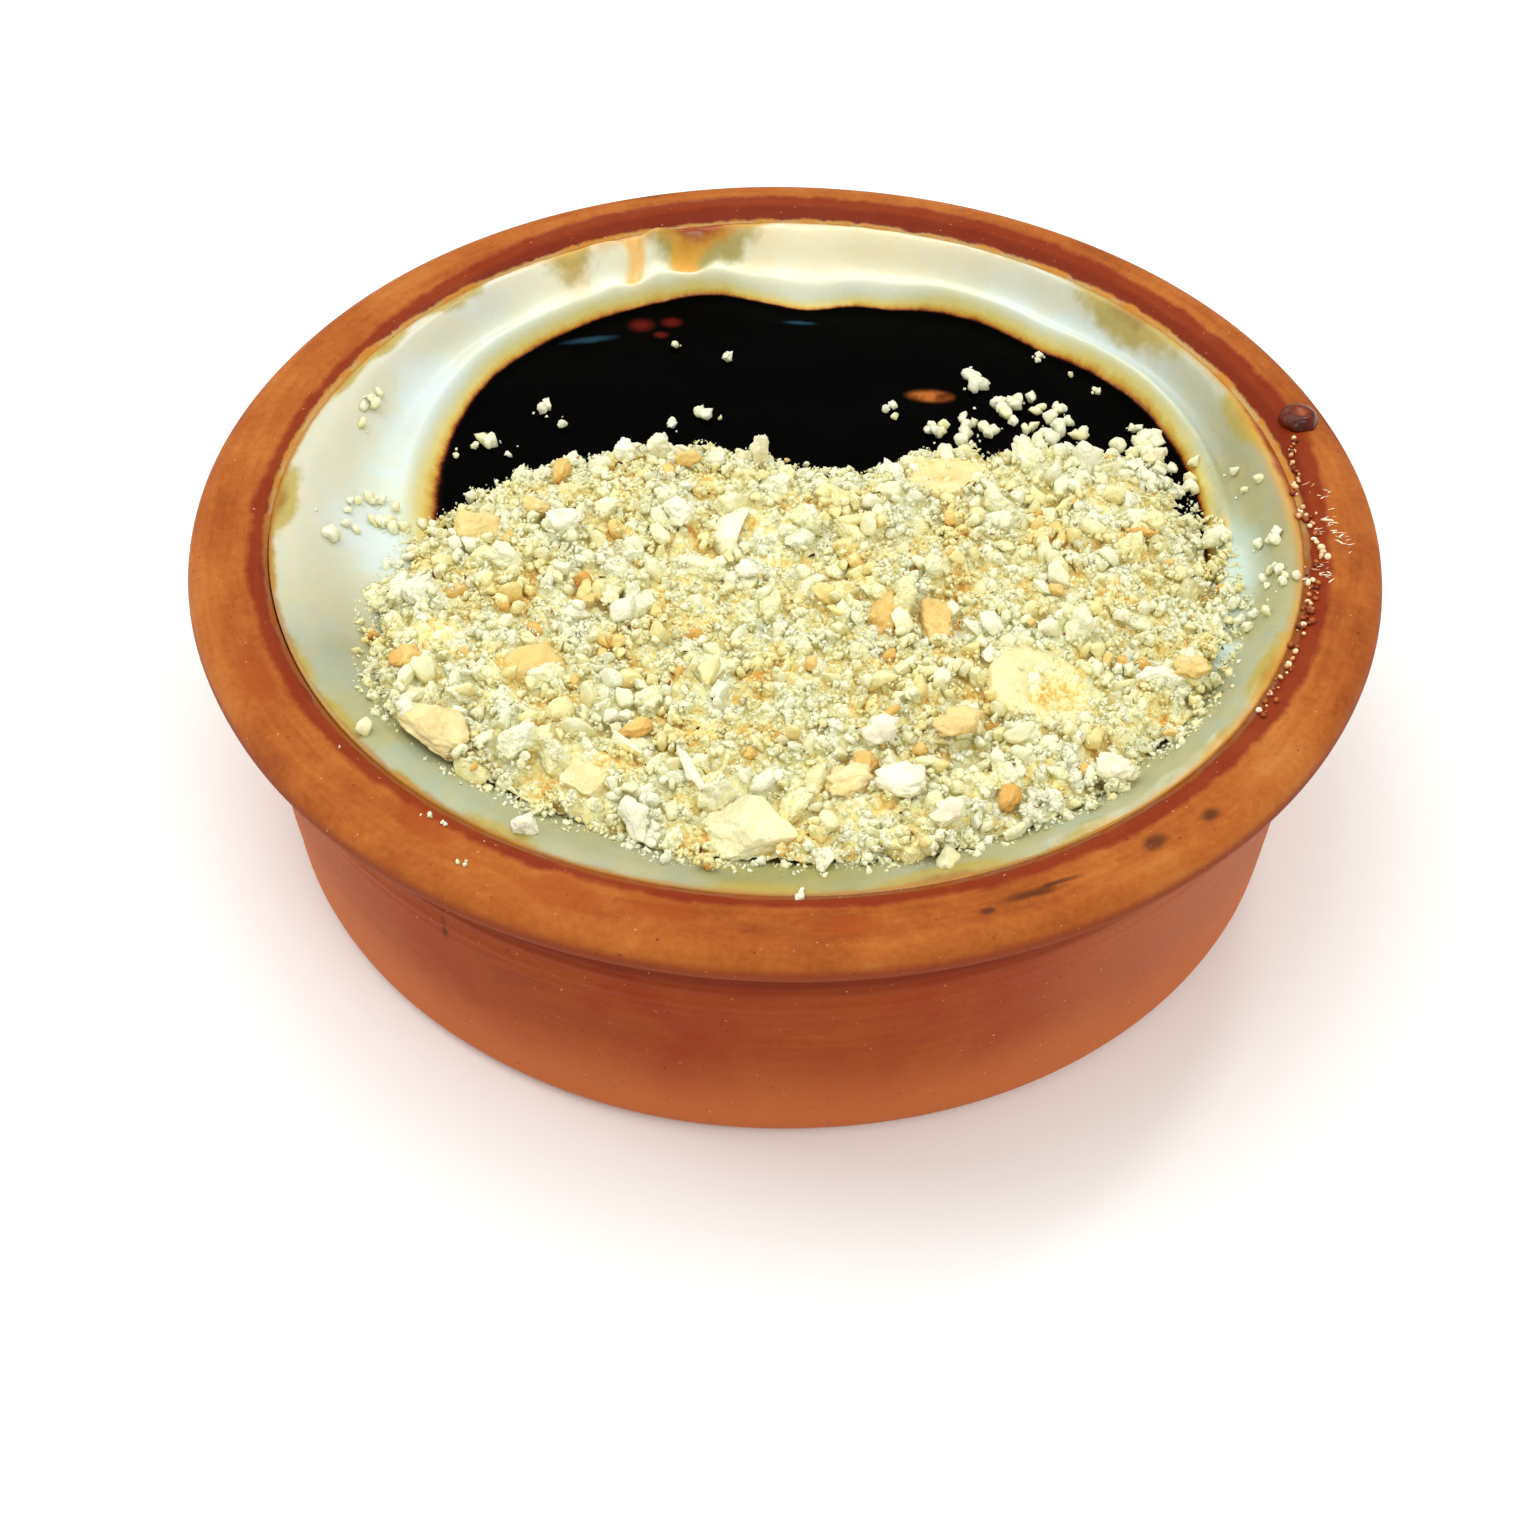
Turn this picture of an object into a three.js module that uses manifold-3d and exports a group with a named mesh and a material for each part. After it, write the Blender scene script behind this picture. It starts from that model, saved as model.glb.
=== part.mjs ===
import * as THREE from "three";
import { mergeVertices } from "three/addons/utils/BufferGeometryUtils.js";
import { ImprovedNoise } from "three/addons/math/ImprovedNoise.js";
import Module from "manifold-3d";

// A rice pudding baked in a shallow clay dish, with crushed hazelnuts over its front.
// Millimetres, +Z up. The origin is the centre of the dish's foot; the nuts lie to the front, -Y.

// Driving dimensions.
const rimDiameter = 125;
const rimWidth = 8.4; // flat top of the rim, outer lip to inner edge
const dishHeight = 36;
const bodyDiameter = 111; // just above the heel
const lipDepth = 4.2; // height of the lip's outer face
const wallTaper = 0.13; // outward lean of the inside wall, mm for each mm of height
const dishFloor = 6; // thickness of the clay under the pudding
const gap = 0.3; // between pieces that touch
const roundSteps = 48; // facets round the dish

const rimRadius = rimDiameter / 2;
const bodyRadius = bodyDiameter / 2;
const innerEdge = rimRadius - rimWidth;

const wasm = await Module();
wasm.setup();
const noise = new ImprovedNoise();

// Turns a closed geometry into a solid that can be cut.
function solidOf(geometry) {
  const bare = geometry.clone();
  bare.deleteAttribute("normal");
  bare.deleteAttribute("uv");
  const merged = mergeVertices(bare, 1e-3);
  const vertProperties = new Float32Array(merged.attributes.position.array);
  const triVerts = new Uint32Array(merged.index.array);
  return new wasm.Manifold(new wasm.Mesh({ numProp: 3, vertProperties, triVerts }));
}

// Turns a cut solid back into a geometry.
function geometryOf(solid) {
  const cut = solid.getMesh();
  const geometry = new THREE.BufferGeometry();
  geometry.setAttribute("position", new THREE.BufferAttribute(cut.vertProperties, 3));
  geometry.setIndex(new THREE.BufferAttribute(cut.triVerts, 1));
  geometry.computeVertexNormals();
  return geometry;
}

// A closed solid of stacked rings, first and last ring on a point; pointAt(ring, angle) places each corner.
function ringSolid(ringCount, steps, pointAt) {
  const profile = [];
  for (let ring = 0; ring < ringCount; ring++) {
    profile.push(new THREE.Vector2(1, ring));
  }
  const geometry = new THREE.LatheGeometry(profile, steps);
  const position = geometry.attributes.position;
  for (let i = 0; i < position.count; i++) {
    const angle = (2 * Math.PI * Math.floor(i / ringCount)) / steps;
    const point = pointAt(i % ringCount, angle);
    position.setXYZ(i, point.x, point.y, point.z);
  }
  return geometry;
}

// Smooth reading of a ring of values that are evenly spaced round a full turn.
function readRound(values, angle) {
  const turn = THREE.MathUtils.euclideanModulo(angle / (2 * Math.PI), 1) * values.length;
  const first = Math.floor(turn) % values.length;
  const next = (first + 1) % values.length;
  const blend = THREE.MathUtils.smoothstep(turn - Math.floor(turn), 0, 1);
  return THREE.MathUtils.lerp(values[first], values[next], blend);
}

// Dish: thrown clay with a tapered wall and a heavy rounded lip that overhangs the body.
const heelRounding = 3;
const lipRounding = 0.45 * lipDepth; // of the lip's lower edge
const rimCrown = lipDepth - lipRounding; // rounding of the rim's outer edge
const innerRounding = 1; // of the rim's inner edge
const neckRadius = 57.2; // outer wall just under the lip
const neckFillet = 2;
const insideFillet = 5;
const lipBottom = dishHeight - lipDepth;

// Radius of the inside wall at a height.
function insideRadius(z) {
  return innerEdge - (dishHeight - z) * wallTaper;
}

// The hollow's outline from the axis at the floor up to a height, moved inwards by inset.
function hollowOutline(top, inset) {
  const bottom = dishFloor + inset;
  const corner = insideRadius(dishFloor) - inset;
  const outline = new THREE.Path();
  outline.moveTo(0, bottom);
  outline.lineTo(corner - insideFillet, bottom);
  outline.quadraticCurveTo(
    corner, bottom,
    insideRadius(dishFloor + insideFillet) - inset, bottom + insideFillet,
  );
  outline.lineTo(insideRadius(top) - inset, top);
  return outline.getPoints(3);
}

const dishOutline = new THREE.Path();
dishOutline.moveTo(0, 0);
dishOutline.lineTo(bodyRadius - heelRounding, 0);
dishOutline.absarc(bodyRadius - heelRounding, heelRounding, heelRounding, -Math.PI / 2, 0, false);
dishOutline.lineTo(neckRadius, lipBottom - neckFillet);
dishOutline.quadraticCurveTo(neckRadius, lipBottom, neckRadius + neckFillet, lipBottom);
dishOutline.lineTo(rimRadius - lipRounding, lipBottom);
dishOutline.absarc(rimRadius - lipRounding, lipBottom + lipRounding, lipRounding, -Math.PI / 2, 0, false);
dishOutline.absarc(rimRadius - rimCrown, dishHeight - rimCrown, rimCrown, 0, Math.PI / 2, false);
dishOutline.lineTo(innerEdge + innerRounding, dishHeight);
const dishProfile = dishOutline.getPoints(3);
dishProfile.push(...hollowOutline(dishHeight - innerRounding, 0).reverse());
const dishGeometry = new THREE.LatheGeometry(dishProfile, roundSteps);
dishGeometry.rotateX(Math.PI / 2);

// Pudding: the milk skin climbs to the rim all round and sags to a flat burnt middle that lies off centre.
const burntLevel = 28.6;
const skinEdgeHeight = 34.8;
const burntPatchRadius = 44;
const burntPatchX = 3.2;
const burntPatchY = 3.6;
const beadHeight = 0.9; // swollen ring of skin along the burnt middle
const beadPlace = 0.2; // where the bead lies between the burnt middle, 0, and the rim, 1
const skinRings = [1, 0.9, 0.76, 0.6, 0.45, 0.32, 0.2, 0.1, 0]; // rim to burnt middle
const burntRings = [0.96, 0.8, 0.55, 0.28, 0]; // parts of the burnt middle's radius
const beadWidth = 0.13; // in the same parts
const skinCurve = 1.35; // over 1, the skin is hollow between its bead and the rim
const rippleHeight = 0.5;
const ripplesPerMm = 0.09;
const skinEdge = insideRadius(skinEdgeHeight) - gap;

// Distance from the dish's axis to the burnt middle's edge in a direction.
function burntReach(angle) {
  const ahead = burntPatchX * Math.cos(angle) + burntPatchY * Math.sin(angle);
  const aside = burntPatchX * Math.sin(angle) - burntPatchY * Math.cos(angle);
  return ahead + Math.sqrt(burntPatchRadius ** 2 - aside ** 2);
}

// Height of the pudding's skin at a point.
function skinHeight(x, y) {
  const radius = Math.hypot(x, y);
  const reach = burntReach(Math.atan2(y, x));
  const climb = Math.max(0, (radius - reach) / (skinEdge - reach));
  const rise = (skinEdgeHeight - burntLevel) * Math.pow(climb, skinCurve);
  const bead = beadHeight * Math.exp(-(((climb - beadPlace) / beadWidth) ** 2)) * Math.min(1, climb * 12);
  const ripples = noise.noise(x * ripplesPerMm, y * ripplesPerMm, 4.1) * Math.min(1, 4 * (1 - climb));
  return burntLevel + rise + bead + rippleHeight * ripples;
}

const puddingSide = hollowOutline(skinEdgeHeight, gap);
puddingSide.pop();
const skinStart = puddingSide.length;
const puddingRings = skinStart + skinRings.length + burntRings.length;

// Corner of the pudding; lift raises the whole skin, for cutting what lies on it.
function puddingPoint(ring, angle, lift) {
  let radius;
  if (ring < skinStart) {
    radius = puddingSide[ring].x;
  } else if (ring < skinStart + skinRings.length) {
    radius = THREE.MathUtils.lerp(burntReach(angle), skinEdge, skinRings[ring - skinStart]);
  } else {
    radius = burntReach(angle) * burntRings[ring - skinStart - skinRings.length];
  }
  const x = radius * Math.cos(angle);
  const y = radius * Math.sin(angle);
  const z = ring < skinStart ? puddingSide[ring].y : skinHeight(x, y) + lift;
  return { x, y, z };
}

const puddingGeometry = ringSolid(puddingRings, roundSteps, (ring, angle) => puddingPoint(ring, angle, 0));
const raisedPudding = ringSolid(puddingRings, roundSteps, (ring, angle) => puddingPoint(ring, angle, gap));

// Nut heap: crushed kernels strewn over the front, out to an uneven edge.
const heapX = 2;
const heapY = -15;
const heapDepth = 6.2; // over the middle
const heapEdgeDepth = 1.6; // one layer of crumbs
const heapShoulder = 15; // how far in from the edge the full depth is reached
const heapLumps = 1.3; // height of its lumps
const lumpsPerMm = 0.22;
const heapFoot = 3; // how far outside the edge the depth starts to grow
const heapRaggedness = 1.1;
const heapSteps = 48;
const heapRings = [1, 0.92, 0.81, 0.67, 0.51, 0.34, 0.17, 0];
// Reach of the heap from its middle, every 20 degrees from +X towards +Y.
const heapReaches = [45, 50, 50, 38, 29.5, 32.5, 38, 43.5, 44.5, 44.5, 42, 37.5, 35.5, 34.8, 34.8, 35, 37, 40.5];
const underHeap = 20; // any height below the skin

function heapReach(angle) {
  const ragged = noise.noise(3.4 * Math.cos(angle), 3.4 * Math.sin(angle), 1.7);
  return readRound(heapReaches, angle) + heapRaggedness * ragged;
}

// Height of the heap's top at a point.
function heapHeight(x, y) {
  const reach = heapReach(Math.atan2(y - heapY, x - heapX));
  const inward = reach - Math.hypot(x - heapX, y - heapY);
  const full = THREE.MathUtils.smoothstep(inward, -heapFoot, heapShoulder);
  const lumps = heapLumps * noise.noise(x * lumpsPerMm, y * lumpsPerMm, 9.3) * full;
  const depth = THREE.MathUtils.lerp(heapEdgeDepth, heapDepth, full);
  return Math.max(skinHeight(x, y), burntLevel) + gap + depth + lumps;
}

function heapPoint(ring, angle) {
  const under = ring < 2;
  const share = under ? ring : heapRings[ring - 2];
  const radius = heapReach(angle) * share;
  const x = heapX + radius * Math.cos(angle);
  const y = heapY + radius * Math.sin(angle);
  return { x, y, z: under ? underHeap : heapHeight(x, y) };
}

const heapBlock = ringSolid(heapRings.length + 2, heapSteps, heapPoint);
let heapSolid = solidOf(heapBlock).subtract(solidOf(raisedPudding));

// Larger pieces of hazelnut lie half sunk in the heap, each in a pocket of its own.
// kind: half (split kernel with its hollow up), chunk (broken lump), shell (curved outer piece)
const nutPieces = [
  { name: "hazelnut_half_back", kind: "half", size: [9.6, 8.4, 5.4], at: [17.6, 9.2], turn: 10, tilt: -14, up: 0.9 },
  { name: "hazelnut_half_right", kind: "half", size: [11, 11.5, 6], at: [25.4, -24.6], turn: 80, tilt: 16, up: 0.5 },
  { name: "hazelnut_slab_front", kind: "chunk", size: [10.4, 7, 5], at: [-2.8, -46], turn: 12, tilt: 24, up: 1.4 },
  { name: "hazelnut_slab_left", kind: "chunk", size: [8.2, 6.6, 4.6], at: [-33.8, -33.8], turn: 140, tilt: 20, up: 1.4 },
  { name: "hazelnut_lump_left", kind: "chunk", size: [6.2, 5.6, 5], at: [-35.6, -18.6], turn: 30, tilt: 12, up: 1.6 },
  { name: "hazelnut_curl_left", kind: "shell", size: [7.4, 6.4, 5.6], at: [-25.6, -22], turn: 205, tilt: 22, up: 1.1 },
  { name: "hazelnut_crescent", kind: "shell", size: [8.2, 6.2, 5], at: [-4, -1.4], turn: 75, tilt: 12, up: 1.1 },
  { name: "hazelnut_toasted_1", kind: "chunk", size: [4.4, 6.2, 4.6], at: [10, -14.8], turn: -12, tilt: 10, up: 1.5 },
  { name: "hazelnut_toasted_2", kind: "chunk", size: [4.2, 6, 4.6], at: [15, -15.2], turn: 14, tilt: -10, up: 1.5 },
  { name: "hazelnut_chip_back", kind: "chunk", size: [6.4, 5.4, 4.2], at: [-32.6, 0.6], turn: 20, tilt: 10, up: 1.2 },
  { name: "hazelnut_chip_front", kind: "chunk", size: [6.4, 5.2, 4.4], at: [-18.8, -39], turn: 60, tilt: 18, up: 1.3 },
];
const nutClearance = 0.75; // part of a piece's depth kept between its middle and the skin
const ballAround = 12;
const ballDown = 8;

function ellipsoid(length, width, depth) {
  return new THREE.SphereGeometry(0.5, ballAround, ballDown).rotateX(Math.PI / 2).scale(length, width, depth);
}

// A split kernel: the lower part of an ellipsoid with the small hollow between the seed halves.
function halfNut([length, width, depth]) {
  const above = new THREE.BoxGeometry(2 * length, 2 * width, depth).translate(0, 0, 0.72 * depth);
  const hollow = ellipsoid(0.46 * length, 0.36 * width, 0.5 * depth).translate(0, 0, 0.22 * depth);
  return geometryOf(solidOf(ellipsoid(length, width, depth)).subtract(solidOf(above)).subtract(solidOf(hollow)));
}

// A curved piece of a kernel's outside: half of a thick shell.
function nutShell([length, width, depth]) {
  const inner = ellipsoid(0.5 * length, 0.56 * width, 0.9 * depth).translate(0, -0.16 * width, 0.2 * depth);
  const front = new THREE.BoxGeometry(2 * length, width, 2 * depth).translate(0, -0.55 * width, 0);
  return geometryOf(solidOf(ellipsoid(length, width, depth)).subtract(solidOf(inner)).subtract(solidOf(front)));
}

// A broken lump: a coarse ball pushed in and out.
function nutChunk([length, width, depth], seed) {
  const geometry = mergeVertices(new THREE.IcosahedronGeometry(0.5, 1).deleteAttribute("normal").deleteAttribute("uv"));
  const position = geometry.attributes.position;
  const corner = new THREE.Vector3();
  for (let i = 0; i < position.count; i++) {
    corner.fromBufferAttribute(position, i);
    const push = 0.94 + 0.3 * noise.noise(corner.x * 4, corner.y * 4, corner.z * 4 + seed);
    position.setXYZ(i, corner.x * push * length, corner.y * push * width, corner.z * push * depth);
  }
  return geometry;
}

const nutMaterial = new THREE.MeshStandardMaterial({ color: 0xe6cf9f, roughness: 0.65, metalness: 0 });
const nutMeshes = nutPieces.map(({ name, kind, size, at, turn, tilt, up }, index) => {
  const shapes = { half: halfNut, shell: nutShell, chunk: nutChunk };
  const mesh = new THREE.Mesh(shapes[kind](size, index * 3.7), nutMaterial);
  mesh.name = name;
  const sunk = heapHeight(at[0], at[1]) + up - size[2] / 2;
  const clearOfSkin = skinHeight(at[0], at[1]) + nutClearance * size[2] + gap;
  mesh.position.set(at[0], at[1], Math.max(sunk, clearOfSkin));
  mesh.rotation.set(THREE.MathUtils.degToRad(tilt), 0, THREE.MathUtils.degToRad(turn), "ZXY");
  mesh.updateMatrixWorld(true);
  // The pocket is the piece's outer ellipsoid, a gap larger all round, open to above.
  const room = size.map((side) => (kind === "chunk" ? 1.06 * side : side) + 2 * gap);
  const pocket = ellipsoid(...room).applyMatrix4(mesh.matrixWorld);
  heapSolid = heapSolid.subtract(solidOf(pocket));
  return mesh;
});

// The finished part.
function named(name, geometry, material) {
  const mesh = new THREE.Mesh(geometry, material);
  mesh.name = name;
  return mesh;
}

const clay = new THREE.MeshStandardMaterial({ color: 0xb5602c, roughness: 0.45, metalness: 0 });
const milkSkin = new THREE.MeshStandardMaterial({ color: 0xf0e6bd, roughness: 0.25, metalness: 0 });
const crumbs = new THREE.MeshStandardMaterial({ color: 0xe3d3a2, roughness: 0.8, metalness: 0 });

const group = new THREE.Group();
group.add(named("dish", dishGeometry, clay));
group.add(named("pudding", puddingGeometry, milkSkin));
group.add(named("nut_heap", geometryOf(heapSolid), crumbs));
group.add(...nutMeshes);

export default group;
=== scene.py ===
from math import atan2, cos, degrees, exp, floor, hypot, pi, radians, sin

import bmesh
import bpy
import numpy as np
from mathutils import Matrix, Quaternion, Vector, noise
from mathutils.bvhtree import BVHTree


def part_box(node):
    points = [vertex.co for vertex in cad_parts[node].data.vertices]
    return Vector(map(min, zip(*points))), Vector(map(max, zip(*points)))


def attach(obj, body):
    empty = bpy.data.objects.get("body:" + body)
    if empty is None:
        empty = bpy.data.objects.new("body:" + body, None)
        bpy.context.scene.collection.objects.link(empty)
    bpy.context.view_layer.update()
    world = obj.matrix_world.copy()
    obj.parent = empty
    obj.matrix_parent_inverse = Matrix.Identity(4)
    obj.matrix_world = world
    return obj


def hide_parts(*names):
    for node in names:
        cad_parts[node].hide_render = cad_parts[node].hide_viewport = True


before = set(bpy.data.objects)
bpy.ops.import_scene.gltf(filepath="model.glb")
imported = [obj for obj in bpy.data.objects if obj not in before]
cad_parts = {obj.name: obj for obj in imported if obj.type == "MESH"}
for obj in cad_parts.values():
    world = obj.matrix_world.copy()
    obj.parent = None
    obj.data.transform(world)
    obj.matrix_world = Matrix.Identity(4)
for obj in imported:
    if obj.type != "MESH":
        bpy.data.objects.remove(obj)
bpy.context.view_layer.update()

# A rice pudding baked in a shallow clay dish, with crushed hazelnuts strewn over its front.
# Shapes are worked out in millimetres, and each finished mesh is scaled to the frame's metres.
MM = 0.001


# ---- Studio -------------------------------------------------------------------------------------
# The camera looks down on the dish's front from arm's length. A large soft light hangs over the
# back left, weaker ones stand at the left and front right, and a small one at the back right puts
# glints on what is wet. The floor is plain and pale.
photo_side = 1536
focal_pixels = 2600
sensor_width = 36
camera_target = Vector((-1.63, -42.4, 40)) * MM
camera_distance = 241.5 * MM
camera_pitch = radians(45.48)
camera_roll = radians(0.76)

forward = Vector((0, cos(camera_pitch), -sin(camera_pitch)))
level_up = Vector((1, 0, 0)).cross(forward)
camera_right = cos(camera_roll) * Vector((1, 0, 0)) + sin(camera_roll) * level_up
camera_up = cos(camera_roll) * level_up - sin(camera_roll) * Vector((1, 0, 0))

camera = bpy.data.objects.new("camera", bpy.data.cameras.new("camera"))
camera.data.sensor_width = sensor_width
camera.data.lens = focal_pixels / photo_side * sensor_width
camera.data.clip_start = 10 * MM
turned = Matrix((camera_right, camera_up, -forward)).transposed().to_4x4()
camera.matrix_world = Matrix.Translation(camera_target - camera_distance * forward) @ turned
bpy.context.scene.collection.objects.link(camera)
bpy.context.scene.camera = camera
bpy.context.scene.view_settings.view_transform = "Standard"


def add_light(name, place, side, power, tint):
    """A square soft light, in millimetres, that faces the dish."""
    lamp = bpy.data.lights.new(name, "AREA")
    lamp.size = side * MM
    lamp.energy = power
    lamp.color = tint
    light = bpy.data.objects.new(name, lamp)
    aim = (Vector((0, 0, 20)) - Vector(place)).to_track_quat("-Z", "Y")
    light.matrix_world = Matrix.Translation(Vector(place) * MM) @ aim.to_matrix().to_4x4()
    bpy.context.scene.collection.objects.link(light)


add_light("overhead_light", (-120, 60, 620), 460, 1.62, (0.96, 1, 1))
add_light("left_light", (-520, 120, 330), 260, 0.9, (0.96, 1, 1))
add_light("front_light", (200, -420, 460), 300, 1.2, (0.97, 1, 0.99))
add_light("small_light", (240, 260, 560), 80, 0.5, (1, 1, 1))

world = bpy.data.worlds.new("soft_studio")
world.use_nodes = True
world.node_tree.nodes["Background"].inputs["Color"].default_value = (1, 0.965, 0.88, 1)
world.node_tree.nodes["Background"].inputs["Strength"].default_value = 0.76
bpy.context.scene.world = world


class Value:
    """Wraps a shader socket, so that sums on a surface's values read as plain sums."""

    def __init__(self, finish, socket):
        self.finish = finish
        self.socket = socket

    def work_out(self, operation, first, second):
        return self.finish.node("ShaderNodeMath", {"operation": operation}, {0: first, 1: second})

    def __add__(self, other):
        return self.work_out("ADD", self, other)

    def __radd__(self, other):
        return self.work_out("ADD", other, self)

    def __sub__(self, other):
        return self.work_out("SUBTRACT", self, other)

    def __rsub__(self, other):
        return self.work_out("SUBTRACT", other, self)

    def __mul__(self, other):
        return self.work_out("MULTIPLY", self, other)

    def __rmul__(self, other):
        return self.work_out("MULTIPLY", other, self)


def paint(red, green, blue):
    """A colour as the eye reads it, 0 to 255, turned into the linear values that light works with."""
    shares = [channel / 255 for channel in (red, green, blue)]
    return [share / 12.92 if share < 0.04045 else ((share + 0.055) / 1.055) ** 2.4 for share in shares] + [1]


class Finish:
    """A material, built up one node at a time."""

    def __init__(self, name):
        self.material = bpy.data.materials.new(name)
        self.material.use_nodes = True
        self.tree = self.material.node_tree
        self.shader = self.tree.nodes["Principled BSDF"]

    def node(self, kind, settings, inputs, output=0):
        """Adds a node: its settings first, then the values or links of its sockets."""
        node = self.tree.nodes.new(kind)
        for name, setting in settings.items():
            if name == "stops":
                self.set_stops(node.color_ramp, setting)
            else:
                setattr(node, name, setting)
        for key, value in inputs.items():
            self.feed(node.inputs[key], value)
        return Value(self, node.outputs[output])

    def set_stops(self, ramp, stops):
        while len(ramp.elements) < len(stops):
            ramp.elements.new(1)
        for element, (position, colour) in zip(ramp.elements, stops):
            element.position = position
            element.color = colour

    def feed(self, socket, value):
        if isinstance(value, Value):
            self.tree.links.new(value.socket, socket)
        else:
            socket.default_value = value

    def place(self):
        """Where a point of the piece is, in millimetres."""
        object_place = self.node("ShaderNodeTexCoord", {}, {}, "Object")
        return self.node("ShaderNodeVectorMath", {"operation": "SCALE"}, {0: object_place, "Scale": 1 / MM})

    def grain(self, place, scale, detail=4, roughness=0.55, seed=0):
        """Uneven cloudy values from 0 to 1; scale is in lumps to the millimetre."""
        if seed:
            place = self.node("ShaderNodeVectorMath", {"operation": "ADD"}, {0: place, 1: (seed, seed, seed)})
        inputs = {"Vector": place, "Scale": scale, "Detail": detail, "Roughness": roughness}
        return self.node("ShaderNodeTexNoise", {}, inputs)

    def step(self, value, low, high):
        """Rises smoothly from 0 to 1 while the value goes from low to high; falls if low is the larger."""
        inputs = {"Value": value, "From Min": low, "From Max": high}
        return self.node("ShaderNodeMapRange", {"interpolation_type": "SMOOTHSTEP"}, inputs)

    def mix(self, share, first, second):
        """The first colour, going over to the second as the share goes from 0 to 1."""
        inputs = {"Factor": share, 6: first, 7: second}
        return self.node("ShaderNodeMix", {"data_type": "RGBA"}, inputs, 2)

    def spot(self, place, middle, reach, turn=0.0, soft=0.5, uneven=None):
        """1 inside an oval spot and 0 outside; reach is its half lengths, turn is in degrees."""
        inputs = {"Vector": place, "Location": middle, "Rotation": (0, 0, radians(turn)), "Scale": reach}
        local = self.node("ShaderNodeMapping", {"vector_type": "TEXTURE"}, inputs)
        away = self.node("ShaderNodeVectorMath", {"operation": "LENGTH"}, {0: local}, "Value")
        if uneven:
            away = away + uneven
        return self.step(away, 1, 1 - soft)

    def read(self, attribute):
        """A value that the mesh carries at each of its points."""
        return self.node("ShaderNodeAttribute", {"attribute_name": attribute}, {}, "Fac")

    def relief(self, height, depth, strength=1.0):
        """Fine relief, depth in millimetres, on the finish's shader."""
        inputs = {"Height": height, "Distance": depth * MM, "Strength": strength}
        self.normal = self.node("ShaderNodeBump", {}, inputs)
        self.feed(self.shader.inputs["Normal"], self.normal)


def make_piece(name, shape, finish, smooth=True):
    """Turns a shape in millimetres into a piece in metres that carries the finish."""
    mesh = bpy.data.meshes.new(name)
    shape.to_mesh(mesh)
    shape.free()
    mesh.transform(Matrix.Scale(MM, 4))
    mesh.materials.append(finish.material)
    mesh.polygons.foreach_set("use_smooth", [smooth] * len(mesh.polygons))
    piece = bpy.data.objects.new(name, mesh)
    bpy.context.scene.collection.objects.link(piece)
    return piece


floor_finish = Finish("pale_floor")
floor_finish.feed(floor_finish.shader.inputs["Base Color"], paint(246, 246, 247))
floor_finish.feed(floor_finish.shader.inputs["Roughness"], 0.7)
floor_shape = bmesh.new()
bmesh.ops.create_grid(floor_shape, x_segments=1, y_segments=1, size=3000)
make_piece("floor", floor_shape, floor_finish)


# ---- Dish ---------------------------------------------------------------------------------------
# Thrown on a wheel from red clay and fired with a thin satin glaze. The wall is nearly upright, the
# heavy rounded rim overhangs it, and fine throwing lines run round under the rim. Milk has boiled
# over the rim's inner edge and burnt on.
rim_radius = 62.5
rim_width = 8.4
dish_height = 36
heel_radius = 55.5
heel_rounding = 3
neck_radius = 57.2
neck_fillet = 2
lip_depth = 4.2
lip_rounding = 0.45 * lip_depth
crown_rounding = lip_depth - lip_rounding
inner_rounding = 1.3
dish_floor = 6
wall_taper = 0.13
inside_fillet = 5
rim_hollow = 0.35
inner_edge = rim_radius - rim_width
lip_bottom = dish_height - lip_depth
dish_steps = 300
# How far milk burnt on reaches over the rim from its inner edge, by bearing in degrees from +X towards +Y.
burnt_widths = [
    (0, 2.8), (14, 4.4), (30, 4), (50, 4.2), (70, 4.6), (90, 4.6), (105, 4.6), (120, 4), (135, 2.6), (150, 1.8),
    (180, 2), (205, 2.2), (230, 2.1), (262, 1.8), (282, 2.1), (298, 2.4), (315, 2.6), (335, 3), (360, 2.8),
]
# Throwing lines under the rim: height, width and how far each stands out.
throwing_lines = [(24.5, 0.35, 0.22), (25.6, 0.3, 0.1), (22.3, 0.45, 0.2), (20.9, 0.3, 0.07), (28.6, 0.4, 0.14)]


def arc(middle, radius, start, end, steps):
    """Points (radius, height) along an arc between two directions in degrees."""
    turns = [radians(start + (end - start) * step / steps) for step in range(steps + 1)]
    return [(middle[0] + radius * cos(turn), middle[1] + radius * sin(turn)) for turn in turns]


def line(start, end, steps):
    """Points along a straight line, without its first."""
    shares = [step / steps for step in range(1, steps + 1)]
    return [(start[0] + (end[0] - start[0]) * s, start[1] + (end[1] - start[1]) * s) for s in shares]


def inside_radius(height):
    return inner_edge - (dish_height - height) * wall_taper


def spin_round(outline, steps):
    """Turns an outline of (radius, height) points round the upright axis into a closed shape."""
    shape = bmesh.new()
    corners = [shape.verts.new((radius, 0, height)) for radius, height in outline]
    edges = [shape.edges.new(pair) for pair in zip(corners, corners[1:])]
    bmesh.ops.spin(
        shape, geom=corners + edges, cent=(0, 0, 0), axis=(0, 0, 1), angle=2 * pi, steps=steps, use_merge=True
    )
    bmesh.ops.remove_doubles(shape, verts=shape.verts, dist=1e-4)
    bmesh.ops.recalc_face_normals(shape, faces=shape.faces)
    return shape


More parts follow.
